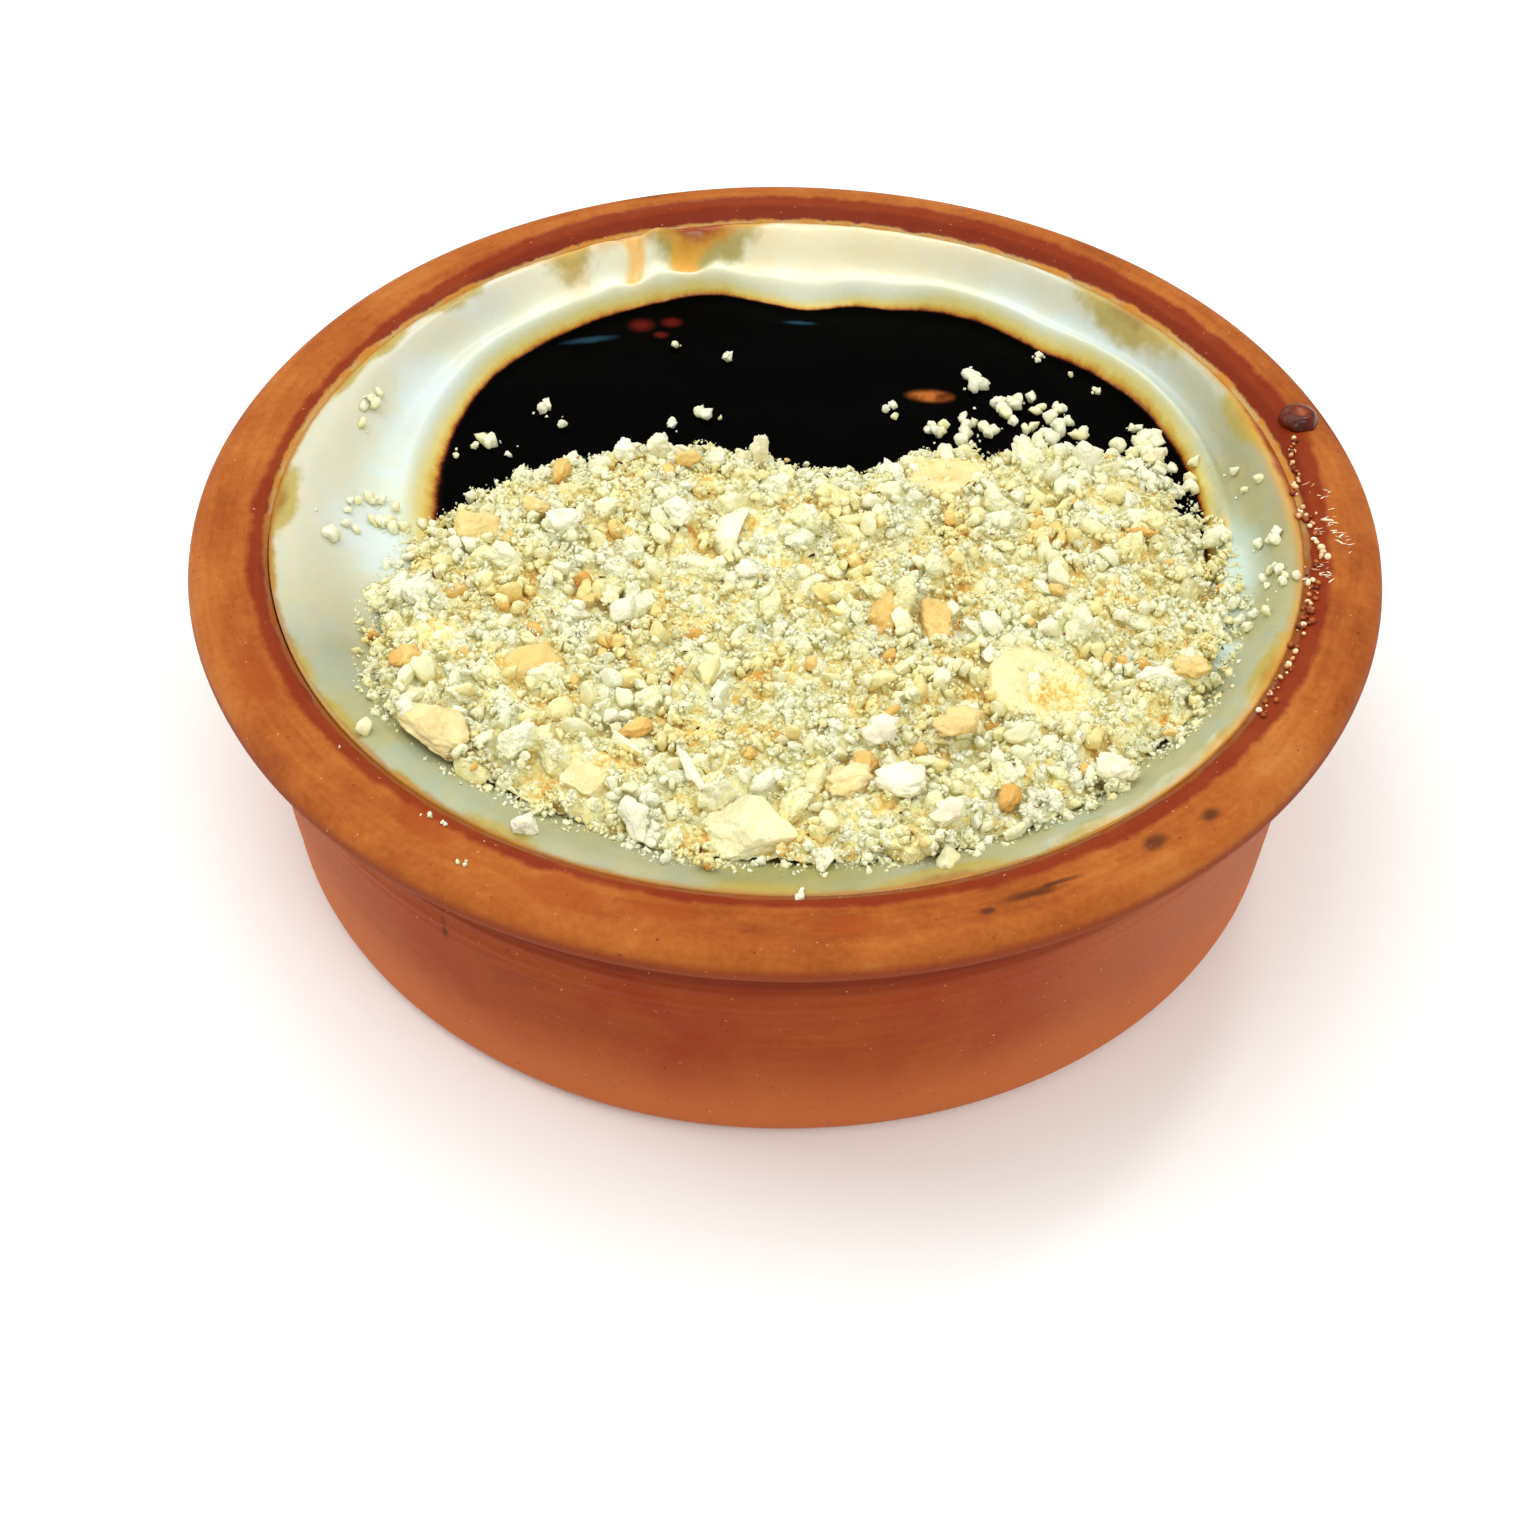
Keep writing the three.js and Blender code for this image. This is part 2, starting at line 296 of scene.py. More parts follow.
def round_table(points, blur):
    """Values for each whole degree of bearing, read off (bearing, value) points and evened out."""
    bearings, values = zip(*points)
    plain = np.interp(np.arange(360), bearings, values)
    turned = [np.roll(plain, shift) for shift in range(-blur, blur + 1)]
    return np.mean(turned, axis=0).tolist()


def read_table(table, bearing):
    first = floor(bearing)
    share = bearing - first
    return table[first % 360] * (1 - share) + table[(first + 1) % 360] * share


def hump(value, middle, width):
    return exp(-(((value - middle) / width) ** 2))


dish_outline = [(0, 0), (20, 0), (40, 0)]
dish_outline += arc((heel_radius - heel_rounding, heel_rounding), heel_rounding, -90, 0, 8)
dish_outline += line((heel_radius, heel_rounding), (neck_radius - 0.35, 19.5), 20)
dish_outline += line((neck_radius - 0.35, 19.5), (neck_radius, lip_bottom - neck_fillet), 44)
dish_outline += arc((neck_radius + neck_fillet, lip_bottom - neck_fillet), neck_fillet, 180, 90, 6)[1:]
dish_outline += arc((rim_radius - lip_rounding, lip_bottom + lip_rounding), lip_rounding, -90, 0, 10)
dish_outline += arc((rim_radius - crown_rounding, dish_height - crown_rounding), crown_rounding, 0, 90, 10)[1:]
dish_outline += line((rim_radius - crown_rounding, dish_height), (inner_edge + inner_rounding, dish_height), 12)
dish_outline += arc((inner_edge + inner_rounding, dish_height - inner_rounding), inner_rounding, 90, 180, 6)[1:]
dish_outline += line(
    (inner_edge, dish_height - inner_rounding),
    (inside_radius(dish_floor + inside_fillet), dish_floor + inside_fillet), 8,
)
dish_outline += arc(
    (inside_radius(dish_floor) - inside_fillet, dish_floor + inside_fillet), inside_fillet, 0, -90, 5
)[1:]
dish_outline += [(30, dish_floor), (0, dish_floor)]
dish_shape = spin_round(dish_outline, dish_steps)
burnt_reach = round_table(burnt_widths, 6)
burnt_layer = dish_shape.verts.layers.float.new("burnt_on")

for corner in dish_shape.verts:
    x, y, z = corner.co
    radius = hypot(x, y)
    if radius < 1 or z < 0.01:
        continue
    outward = Vector((x / radius, y / radius, 0))
    corner[burnt_layer] = read_table(burnt_reach, degrees(atan2(y, x))) - (radius - inner_edge) if z > 33 else -9
    wobble = 0.22 * noise.noise(Vector((outward.x * 1.3, outward.y * 1.3, z * 0.02)))
    hand = 0.1 * noise.noise(Vector((outward.x * 3, outward.y * 3, z * 0.3 + 7)))
    lines = 0
    if radius > neck_radius - 2.5 and z < lip_bottom:
        for height, width, depth in throwing_lines:
            wander = 0.35 * noise.noise(Vector((outward.x * 1.6, outward.y * 1.6, height)))
            lines += depth * exp(-(((z - height - wander) / width) ** 2))
    corner.co += outward * (wobble + hand + lines)
    if z > dish_height - 0.5:
        across = (radius - inner_edge) / rim_width
        crown = rim_hollow * (2 * across - 1.2) ** 2
        waves = 0.12 * noise.noise(Vector((outward.x * 4, outward.y * 4, radius * 0.4)))
        corner.co.z -= max(0, crown) - waves

dish_tree = BVHTree.FromBMesh(dish_shape)

clay = Finish("fired_clay")
place = clay.place()
flat_place = clay.node("ShaderNodeVectorMath", {"operation": "MULTIPLY"}, {0: place, 1: (1, 1, 0)})
from_axis = clay.node("ShaderNodeVectorMath", {"operation": "LENGTH"}, {0: flat_place}, "Value")
height = clay.node("ShaderNodeSeparateXYZ", {}, {0: place}, "Z")
sideways = clay.node("ShaderNodeSeparateXYZ", {}, {0: place}, "X")
# The wheel draws every streak out round the dish: fine across, long along.
along = clay.node("ShaderNodeVectorMath", {"operation": "SCALE"}, {0: flat_place, "Scale": 0.09})
across = clay.node("ShaderNodeCombineXYZ", {}, {"Z": (from_axis + height) * 0.8})
drawn_out = clay.node("ShaderNodeVectorMath", {"operation": "ADD"}, {0: along, 1: across})
streaks = clay.grain(drawn_out, 1, 6, 0.6)
fine_streaks = clay.grain(drawn_out, 3.2, 4, 0.6, seed=5)
mottle = clay.grain(place, 0.075, 7, 0.62)
speckle = clay.grain(place, 1.3, 3, 0.6, seed=9)
body = clay.node(
    "ShaderNodeValToRGB",
    {"stops": [(0.34, paint(130, 58, 16)), (0.44, paint(151, 76, 24)), (0.54, paint(168, 92, 35)),
               (0.68, paint(181, 114, 52))]},
    {"Fac": 0.5 * mottle + 0.32 * streaks + 0.18 * speckle},
)
# The wall is redder than the rim, a painted reflection makes it pinkish at the right, and painted shade darkens it
# under the lip.
on_wall = clay.step(height, 31.5, 29.5)
body = clay.mix(on_wall * (0.5 + 0.45 * clay.step(mottle, 0.35, 0.65)), body, paint(138, 46, 14))
body = clay.mix(on_wall * clay.step(sideways, 10, 52) * 0.6, body, paint(184, 112, 78))
body = clay.mix(on_wall * clay.step(sideways, -24, -52) * 0.4, body, paint(190, 112, 66))
# Painted shade under the lip, where the rim overhangs the wall.
painted_lip_shade = clay.step(height + 3 * streaks, 24.6, 28) * clay.step(height, 32.6, 32) * clay.step(from_axis, 60, 58.6)
body = clay.mix(painted_lip_shade * 0.85, body, paint(110, 34, 6))
low_wall = clay.step(height + 4 * mottle, 18, 4)
body = clay.mix(low_wall * 0.8, body, paint(192, 106, 56))
lip_side = clay.step(height, 34.9, 33.6) * clay.step(height, 31.6, 32.2)
body = clay.mix(lip_side * (0.35 + 0.7 * mottle), body, paint(118, 34, 6))
# Milk sugar burnt on along the rim's inner edge, with a sharp edge of its own.
ragged = clay.grain(place, 0.3, 5, 0.62, seed=3)
burnt = clay.step(clay.read("burnt_on") + 1.8 * (ragged - 0.5), -0.5, 0.4)
body = clay.mix(burnt * (0.7 + 0.3 * ragged), body, paint(122, 32, 4))
body = clay.mix(clay.step(clay.read("burnt_on") + 0.6 * ragged, 1.6, 2.6) * 0.5, body, paint(96, 20, 2))
# The skin's own edge clings to the rim's rounding in places.
clinging = clay.step(from_axis + 1.3 * (ragged - 0.5), 54.95, 54.6) * clay.step(height, 33, 33.6)
clinging = clinging * (0.2 + 0.6 * clay.step(clay.node("ShaderNodeSeparateXYZ", {}, {0: place}, "Y"), -12, 8))
body = clay.mix(clinging, body, clay.mix(clay.step(ragged, 0.4, 0.6), paint(196, 134, 52), paint(196, 166, 108)))
# Smudges, each a spot: middle, half lengths, turn. The one at (30.5, -49) under the lip is painted shade.
smudges_and_lip_shade = [
    ((22.5, -54, 36), (5.2, 0.9, 3), 20), ((24.8, -52.6, 36), (3.6, 0.5, 3), 22), ((18.4, -56.2, 36), (1.2, 0.6, 3), 15),
    ((39.8, -43.9, 36), (1.8, 1.1, 3), 45), ((34.3, -47.4, 36), (2.4, 1.4, 3), 35), ((-17, 59.2, 35.8), (6.5, 1.6, 4), 16),
    ((42, -40, 29.5), (2.5, 2.5, 1.6), 40), ((30.5, -49, 29), (6, 4, 2.2), 30), ((-32.6, -46.5, 22), (0.7, 0.7, 2.8), 0),
]
for middle, reach, turn in smudges_and_lip_shade:
    smudge_and_shade = clay.spot(place, middle, reach, turn, soft=0.7, uneven=0.9 * ragged - 0.35)
    body = clay.mix(smudge_and_shade * 0.8, body, paint(70, 30, 10))
brown_patches = [
    ((-20.5, -54.5, 36), (6.4, 3, 4), -20), ((-11, -56.5, 36), (5.4, 2.2, 4), -12), ((-34, -46, 36), (6, 2.4, 4), -38),
    ((6, -58, 36), (5, 1.8, 4), 6), ((-52, -27, 36), (2.4, 7, 4), 24),
]
for middle, reach, turn in brown_patches:
    patch = clay.spot(place, middle, reach, turn, soft=0.5, uneven=0.9 * ragged - 0.3)
    body = clay.mix(patch * 0.6, body, paint(150, 62, 16))
flecks = clay.step(clay.grain(place, 2.2, 2, 0.5, seed=14), 0.73, 0.77)
body = clay.mix(flecks * 0.5, body, paint(232, 196, 150))
pinholes = clay.step(clay.grain(place, 1.6, 2, 0.5, seed=21), 0.72, 0.78)
body = clay.mix(pinholes * 0.6, body, paint(84, 32, 10))
clay.feed(clay.shader.inputs["Base Color"], body)
clay.feed(clay.shader.inputs["Roughness"], 0.4 + 0.3 * streaks - 0.28 * burnt + 0.1 * speckle)
clay.feed(clay.shader.inputs["IOR"], 1.5)
clay.feed(clay.shader.inputs["Specular IOR Level"], 0.11)
clay.relief(0.5 * fine_streaks + 0.35 * speckle + 0.4 * streaks + 0.5 * burnt - 0.6 * pinholes, 0.22, 0.7)

dish = make_piece("clay_dish", dish_shape, clay)
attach(dish, "root")
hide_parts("dish")


# ---- Pudding ------------------------------------------------------------------------------------
# Set milk pudding under a glossy baked skin. The skin clings to the rim all round, sags in folds,
# and drops to a flat middle that the oven burnt jet black; along that edge it swells into a ridge.
burnt_level = 28.6
skin_top = 35.3
into_wall = 0.15
pudding_steps = 480
slope_rings = 46
burnt_rings = 24
# How far the burnt middle reaches from the dish's axis, by bearing in degrees from +X towards +Y.
burnt_outline = [
    (0, 45), (20, 47.6), (34, 49.2), (44, 49.3), (52, 48.2), (62, 49.4), (70, 49.1), (75, 47.2), (80, 47.8),
    (87, 45.2), (94, 47.4), (100, 49.7), (114, 49), (124, 48.3), (135, 47), (144, 44.8), (157, 41.5), (167, 39.2),
    (180, 36.8), (200, 35), (270, 38), (330, 42), (360, 45),
]
# Width of the brown fringe along the burnt edge, by bearing.
fringe_widths = [(0, 0.9), (60, 0.6), (100, 0.5), (130, 0.7), (150, 0.95), (172, 2), (200, 1.8), (300, 0.9), (360, 0.9)]
# Golden stains where the skin meets the rim: bearing, half width in degrees, reach inwards, strength.
rim_stains = [
    (179, 6, 4, 1), (190, 5, 1.6, 0.6), (207, 5, 2.4, 0.6), (216, 5, 2.6, 0.7), (228, 4, 1.8, 0.5), (240, 5, 2.6, 0.75),
    (255, 4, 1.4, 0.4), (268, 7, 2.6, 0.7), (286, 7, 2.8, 1), (302, 5, 2.4, 0.7), (321, 5, 2.4, 0.55), (334, 6, 3.6, 1),
    (5, 6, 1.6, 0.5), (18, 6, 3.6, 1), (42, 9, 4, 0.95), (62, 8, 1.8, 0.5), (80, 7, 1.6, 0.6), (101, 7, 5, 1.1),
    (119, 4, 4.6, 0.7), (136, 5, 2.6, 0.9), (148, 4, 2.6, 0.9), (156, 4, 2.4, 0.9),
]
# How far burnt milk runs down from the rim over the skin, by bearing.
spill_reaches = [
    (0, 0.5), (10, 0.9), (16, 0.8), (22, 0), (60, -0.5), (92, -0.3), (97, 0.7), (102, 1.5), (107, 0.6), (111, 0.1),
    (115, 0.8), (118, 0), (124, 0.1), (130, -0.3), (200, -0.6), (300, -0.5), (325, 0), (340, 0.2), (352, 0.1), (360, 0.5),
]
# Painted shade on the cream, from white 0 over 1 to grey at 1.6, by bearing: the front and right are painted darker.
painted_shade_bearings = [
    (0, 1.4), (20, 0.95), (40, 0.35), (60, 0.1), (90, 0), (130, 0), (155, 0.2), (185, 0.25), (196, 0.5), (206, 1), (216, 1.6),
    (236, 1.6), (250, 1.15), (270, 1), (286, 1.15), (298, 1.6), (348, 1.6), (360, 1.4),
]
fold_middle = 107
fold_spread = 9
folds_per_degree = 0.115
fold_depth = 0.9
pool_place = (43.9, -17.3)


def smooth_step(value, low, high):
    share = min(1, max(0, (value - low) / (high - low)))
    return share * share * (3 - 2 * share)


burnt_reaches = round_table(burnt_outline, 3)
fringes = round_table(fringe_widths, 8)
spills = round_table(spill_reaches, 1)
painted_shade_table = round_table(painted_shade_bearings, 8)


skin_edge = inside_radius(skin_top) + into_wall


def fold_height(bearing, climb):
    """The golden folds that hang from the rim at the back left."""
    folded = hump(bearing, fold_middle, fold_spread) * smooth_step(climb, 0.15, 0.4) * smooth_step(climb, 1, 0.8)
    swing = bearing * folds_per_degree * 2 * pi + 3 * noise.noise(Vector((bearing * 0.11, climb * 1.5, 1)))
    return fold_depth * folded * sin(swing)


def skin_height(radius, bearing):
    """Height of the pudding's skin at a distance from the axis, on a bearing in degrees."""
    reach = read_table(burnt_reaches, bearing)
    turn = radians(bearing)
    x = radius * cos(turn)
    y = radius * sin(turn)
    wide = 0.14 * noise.noise(Vector((x * 0.12, y * 0.12, 3)))
    fine = 0.05 * noise.noise(Vector((x * 0.5, y * 0.5, 8)))
    if radius <= reach:
        sag = 0.25 * (radius / reach) ** 4
        return burnt_level - 0.25 + sag + wide + fine
    climb = min(1, (radius - reach) / (skin_edge - reach))
    drift = noise.noise(Vector((cos(turn) * 2.1, sin(turn) * 2.1, 5)))
    ledge = 0.27 + 0.05 * drift
    steep = 0.4 * smooth_step(climb, 0, ledge)
    upper = 0.6 * smooth_step(climb, ledge + 0.08, 0.86)
    ridge = (0.3 + 0.25 * drift) * hump(climb, ledge, 0.13) * min(1, climb * 6)
    shoulder = 0.3 * hump(climb, 0.88, 0.09)
    fold = fold_height(bearing, climb)
    pool = 0.35 * hump(hypot(x - pool_place[0], y - pool_place[1]), 0, 2.4)
    creases = 0.25 * noise.noise(Vector((x * 0.16, y * 0.16, 4))) * smooth_step(climb, 0.1, 0.5)
    creases *= smooth_step(climb, 1, 0.85)
    rise = (skin_top - burnt_level) * (steep + upper)
    return burnt_level + rise + ridge + shoulder + fold + pool + creases + wide * (1 - climb) + fine


# The outline runs up the middle of the base, along the clay, over the skin and back to the axis.
# Its radius counts the rings, and the loop below puts each ring in its place.
hidden_rings = [
    (0, dish_floor), (0.5, dish_floor), (0.88, dish_floor), (0.97, dish_floor + 1.4), (1, dish_floor + inside_fillet),
    (1, 20), (1, 30), (1, 34),
]
ring_count = len(hidden_rings) + slope_rings + burnt_rings
pudding_shape = spin_round([(0, 0)] + [(ring, ring) for ring in range(1, ring_count - 1)] + [(0, ring_count)], pudding_steps)
char_layer = pudding_shape.verts.layers.float.new("char")
climb_layer = pudding_shape.verts.layers.float.new("climb")
stain_layer = pudding_shape.verts.layers.float.new("stain")
fold_layer = pudding_shape.verts.layers.float.new("fold")
spill_layer = pudding_shape.verts.layers.float.new("spill")
painted_shade_layer = pudding_shape.verts.layers.float.new("dull")
for corner in pudding_shape.verts:
    x, y, ring = corner.co
    ring = round(ring)
    bearing = degrees(atan2(y, x)) % 360
    reach = read_table(burnt_reaches, bearing)
    if ring < len(hidden_rings):
        share, z = hidden_rings[ring]
        radius = share * (inside_radius(z) + into_wall)
    else:
        place_on_skin = ring - len(hidden_rings)
        if place_on_skin < slope_rings:
            radius = skin_edge + (reach - skin_edge) * place_on_skin / (slope_rings - 1)
        elif ring == ring_count:
            radius = 0
        else:
            radius = reach * (1 - (place_on_skin - slope_rings + 1) / burnt_rings)
        z = skin_height(radius, bearing)
    corner.co = (radius * cos(radians(bearing)), radius * sin(radians(bearing)), z)
    corner[char_layer] = (radius - reach) / read_table(fringes, bearing)
    corner[climb_layer] = (radius - reach) / (skin_edge - reach)
    stain = 0
    for middle, width, depth, strength in rim_stains:
        off = (bearing - middle + 180) % 360 - 180
        edge = skin_edge - radius
        stain = max(stain, strength * hump(off, 0, width) * smooth_step(edge, depth, 0))
    corner[stain_layer] = stain
    if ring >= len(hidden_rings):
        corner[fold_layer] = fold_height(bearing, corner[climb_layer])
        corner[spill_layer] = read_table(spills, bearing) - (skin_edge - radius)
        corner[painted_shade_layer] = read_table(painted_shade_table, bearing)
bmesh.ops.recalc_face_normals(pudding_shape, faces=pudding_shape.faces)
skin_tree = BVHTree.FromBMesh(pudding_shape)

milk = Finish("baked_milk_skin")
place = milk.place()
char = milk.read("char")
climb = milk.read("climb")
stain = milk.read("stain")
clouds = milk.grain(place, 0.1, 4, 0.5)
patches = milk.grain(place, 0.45, 4, 0.55, seed=4)
specks = milk.grain(place, 1.6, 3, 0.5, seed=11)
cream = milk.mix(milk.step(clouds, 0.4, 0.62), paint(214, 232, 238), paint(217, 231, 220))
# Towards the rim the cream is painted greyer beige: painted shade on the steep outer slope.
cream = milk.mix(milk.step(climb + 0.5 * clouds, 0.62, 1.02) * 0.7, cream, paint(198, 196, 178))
# Painted shade by bearing greys the cream at the front and right.
dull = milk.read("dull")
cream = milk.mix(dull, cream, milk.mix(milk.step(clouds, 0.4, 0.6), paint(146, 156, 136), paint(150, 154, 118)))
cream = milk.mix(milk.step(dull, 1, 1.6), cream, milk.mix(milk.step(clouds, 0.4, 0.6), paint(150, 162, 138), paint(152, 158, 120)))
# Patches of the skin with a tone of their own, and painted light and shade: warm at the back, painted light at the back
# left, painted shade in the olive yellow before the nuts and in the tan along the rim at the right, and bluish white
# below that.
tones_and_painted_light = [
    ((8, 55, 34), (50, 15, 12), 0.45, (246, 230, 182)), ((0, -53, 34), (13, 8, 20), 0.8, (132, 134, 76)),
    ((54.8, 2, 34), (4.4, 20, 8), 0.7, (150, 134, 94)), ((46.4, -3, 31), (5.2, 13, 8), 0.9, (190, 214, 208)),
    ((-20, 46, 32), (24, 12, 8), 0.6, (250, 246, 210)),
]
for middle, reach, share, colour in tones_and_painted_light:
    tone_and_light_spot = milk.spot(place, middle, reach, soft=0.7, uneven=0.4 * clouds - 0.2)
    cream = milk.mix(tone_and_light_spot * share, cream, paint(*colour))
yellow = milk.step(stain + 0.5 * patches, 0.42, 0.75)
cream = milk.mix(yellow * 0.85, cream, paint(160, 144, 54))
cream = milk.mix(milk.step(stain + 0.5 * patches, 0.85, 1.3), cream, paint(134, 88, 16))
in_fold = milk.step(milk.read("fold") + 0.3 * (patches - 0.5), 0.15, -0.6)
cream = milk.mix(in_fold * 0.7, cream, paint(246, 184, 60))
rim_line = milk.step(climb + 0.05 * patches, 0.985, 1.02)
cream = milk.mix(rim_line * 0.8, cream, paint(138, 82, 18))
spill = milk.read("spill") + 1.1 * (patches - 0.5)
cream = milk.mix(milk.step(spill, -1.3, 0) * 0.7, cream, paint(208, 150, 48))
spill = milk.step(spill, -0.4, 0.7)
cream = milk.mix(spill * 0.9, cream, paint(140, 44, 8))
# One burnt fold at the right end of the dark middle.
cream = milk.mix(milk.spot(place, (46.4, 4.6, 31), (1.7, 2.8, 6), 10, soft=0.7), cream, paint(218, 176, 60))
cream = milk.mix(milk.spot(place, (46.2, 6.6, 31), (1.3, 1.3, 6), 10, soft=0.8), cream, paint(138, 66, 16))
pool = milk.spot(place, (*pool_place, 32), (3.2, 2.6, 6), 30, soft=0.5)
cream = milk.mix(pool * 0.8, cream, paint(204, 228, 232))
edge = char + 0.6 * (patches - 0.5) + 0.25 * (specks - 0.5)
fringe = milk.node(
    "ShaderNodeValToRGB",
    {"stops": [(0, paint(0, 0, 0)), (0.13, paint(20, 4, 1)), (0.2, paint(84, 32, 6)), (0.27, paint(156, 86, 18)),
               (0.38, paint(206, 162, 58)), (0.55, paint(222, 206, 124)), (1, paint(216, 220, 186))]},
    {"Fac": milk.node("ShaderNodeMapRange", {}, {"Value": edge, "From Min": -0.3, "From Max": 2})},
)
pale = milk.step(edge, 0.9, 2.6)
skin = milk.mix(pale, fringe, cream)
window = milk.spot(place, (16.5, 29.6, 28.5), (3.4, 1.5, 3), -4, soft=0.6, uneven=0.5 * patches - 0.25)
skin = milk.mix(window * 0.9, skin, milk.mix(milk.step(patches, 0.35, 0.65), paint(96, 42, 12), paint(176, 100, 46)))
blisters = [((-17.4, 42.4, 28.5), (2, 1.7, 3)), ((-15, 40.6, 28.5), (1.2, 0.9, 3)), ((-13.8, 43, 28.5), (1.7, 1.3, 3))]
for middle, reach in blisters:
    blister = milk.spot(place, middle, reach, soft=0.8)
    skin = milk.mix(blister * 0.5, skin, paint(112, 30, 24))
# Painted reflections: two bluish glints on the burnt middle.
painted_glints = [((-23.3, 39.4, 28.5), (4.2, 0.8, 3), 12), ((1.5, 43.3, 28.5), (2.6, 0.5, 3), -4)]
for middle, reach, turn in painted_glints:
    painted_glint = milk.spot(place, middle, reach, turn, soft=0.8, uneven=0.4 * specks - 0.2)
    skin = milk.mix(painted_glint * 0.7, skin, paint(34, 66, 82))
milk.feed(milk.shader.inputs["Base Color"], skin)
milk.feed(milk.shader.inputs["Roughness"], 0.2 + 0.14 * clouds - 0.12 * pool - 0.06 * spill)
milk.feed(milk.shader.inputs["IOR"], 1.42)
milk.feed(milk.shader.inputs["Subsurface Weight"], 0.25)
milk.feed(milk.shader.inputs["Subsurface Radius"], (1, 0.75, 0.5))
milk.feed(milk.shader.inputs["Subsurface Scale"], 1.2 * MM)
milk.relief(patches + 0.4 * specks, 0.12, 0.35)
# The burnt middle is glassy, and too dark to show much of the room.
glaze = milk.node("ShaderNodeBsdfPrincipled", {}, {
    "Base Color": skin, "Roughness": 0.14 + 0.16 * patches, "Specular IOR Level": 0.02, "IOR": 1.4,
    "Normal": milk.normal,
})
milk_surface = Value(milk, milk.shader.outputs[0])
surface = milk.node("ShaderNodeMixShader", {}, {0: milk.step(edge, 0.5, 0), 1: milk_surface, 2: glaze})
milk.feed(milk.tree.nodes["Material Output"].inputs["Surface"], surface)

pudding = make_piece("baked_pudding", pudding_shape, milk)
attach(pudding, "root")
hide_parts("pudding")


# ---- Nut heap -----------------------------------------------------------------------------------
# Roasted hazelnuts crushed in a mortar and strewn over the front. The fine meal has caked together:
# it is a low core with its grains as relief. Whatever lies loose is strewn over it afterwards.
heap_middle = (2, -15)
heap_depth = 6.2
heap_edge_depth = 1.6
heap_shoulder = 15
heap_foot = 3
core_cover = 0.2
core_inset = 1.4
core_steps = 560
core_rings = 165
# Reach of the heap from its middle, every 20 degrees from +X towards +Y.
heap_reaches = [43.8, 48.6, 49.4, 38, 29.5, 32.5, 38, 43.5, 44.5, 45, 43.6, 39.4, 37.2, 36, 35.8, 36.4, 38.6, 41]
heap_outline = round_table([(20 * turn, reach) for turn, reach in enumerate(heap_reaches + heap_reaches[:1])], 4)


def heap_reach(bearing):
    ragged = 1.5 * noise.noise(Vector((cos(radians(bearing)) * 6, sin(radians(bearing)) * 6, 1.7)))
    return read_table(heap_outline, bearing) + ragged


def heap_inward(x, y):
    """How far a point lies inside the heap's edge."""
    bearing = degrees(atan2(y - heap_middle[1], x - heap_middle[0]))
    return heap_reach(bearing) - hypot(x - heap_middle[0], y - heap_middle[1])


def skin_under(x, y):
    return skin_height(hypot(x, y), degrees(atan2(y, x)) % 360)


def heap_height(x, y):
    """Height of the finished heap's top."""
    full = smooth_step(heap_inward(x, y), -heap_foot, heap_shoulder)
    lumps = 1.1 * noise.noise(Vector((x * 0.16, y * 0.16, 9.3))) * full
    small_lumps = 0.5 * noise.noise(Vector((x * 0.45, y * 0.45, 2.3))) * full
    return skin_under(x, y) + heap_edge_depth + (heap_depth - heap_edge_depth) * full + lumps + small_lumps


def patch_tone(x, y):
    """Neighbouring grains come off the same kernel, so the heap's tone changes in patches."""
    wide = noise.noise(Vector((x * 0.2, y * 0.2, 6)))
    return 0.6 + 0.4 * wide + 0.3 * noise.noise(Vector((x * 0.55, y * 0.55, 1)))


def packed(x, y, size, layer):
    """Grains packed side by side: 0 in the gaps between them to 1 on top, and a tone for each grain."""
    spot = Vector((x / size, y / size, layer))
    spot += 0.3 * noise.noise_vector(spot * 1.9)
    distances, middles = noise.voronoi(spot)
    return min(1, (distances[1] - distances[0]) / 0.4), 0.5 + 0.5 * noise.cell(middles[0] * 9)


core_shape = spin_round([(0, 0)] + [(ring, ring) for ring in range(1, core_rings)] + [(0, core_rings)], core_steps)
tone_layer = core_shape.verts.layers.float.new("tone")
for corner in core_shape.verts:
    x, y, ring = corner.co
    ring = round(ring)
    turn = atan2(y, x)
    share = ring / 2 if ring < 2 else 1 - (ring - 2) / (core_rings - 2)
    radius = share * (heap_reach(degrees(turn)) - core_inset)
    x = heap_middle[0] + radius * cos(turn)
    y = heap_middle[1] + radius * sin(turn)
    if ring < 2:
        z = burnt_level - 4
    else:
        lump, lump_tone = packed(x, y, 3.4, 2)
        crumb, crumb_tone = packed(x, y, 1.35, 5)
        rough = 0.14 * noise.noise(Vector((x * 2.6, y * 2.6, 1)))
        relief = 0.8 * lump * lump_tone + 0.5 * crumb * (0.35 + crumb_tone) + rough
        z = heap_height(x, y) - core_cover - 0.75 + relief - 1.5 * smooth_step(share, 0.9, 1)
        # Painted shade: the tone drops in the gaps between grains, so the crevices come out darker and yellower.
        corner[tone_layer] = patch_tone(x, y) + 0.34 + 0.2 * (crumb_tone - 0.5) + 0.42 * (crumb - 1) + 0.2 * (lump - 1)
    corner.co = (x, y, z)
bmesh.ops.recalc_face_normals(core_shape, faces=core_shape.faces)
core_tree = BVHTree.FromBMesh(core_shape)


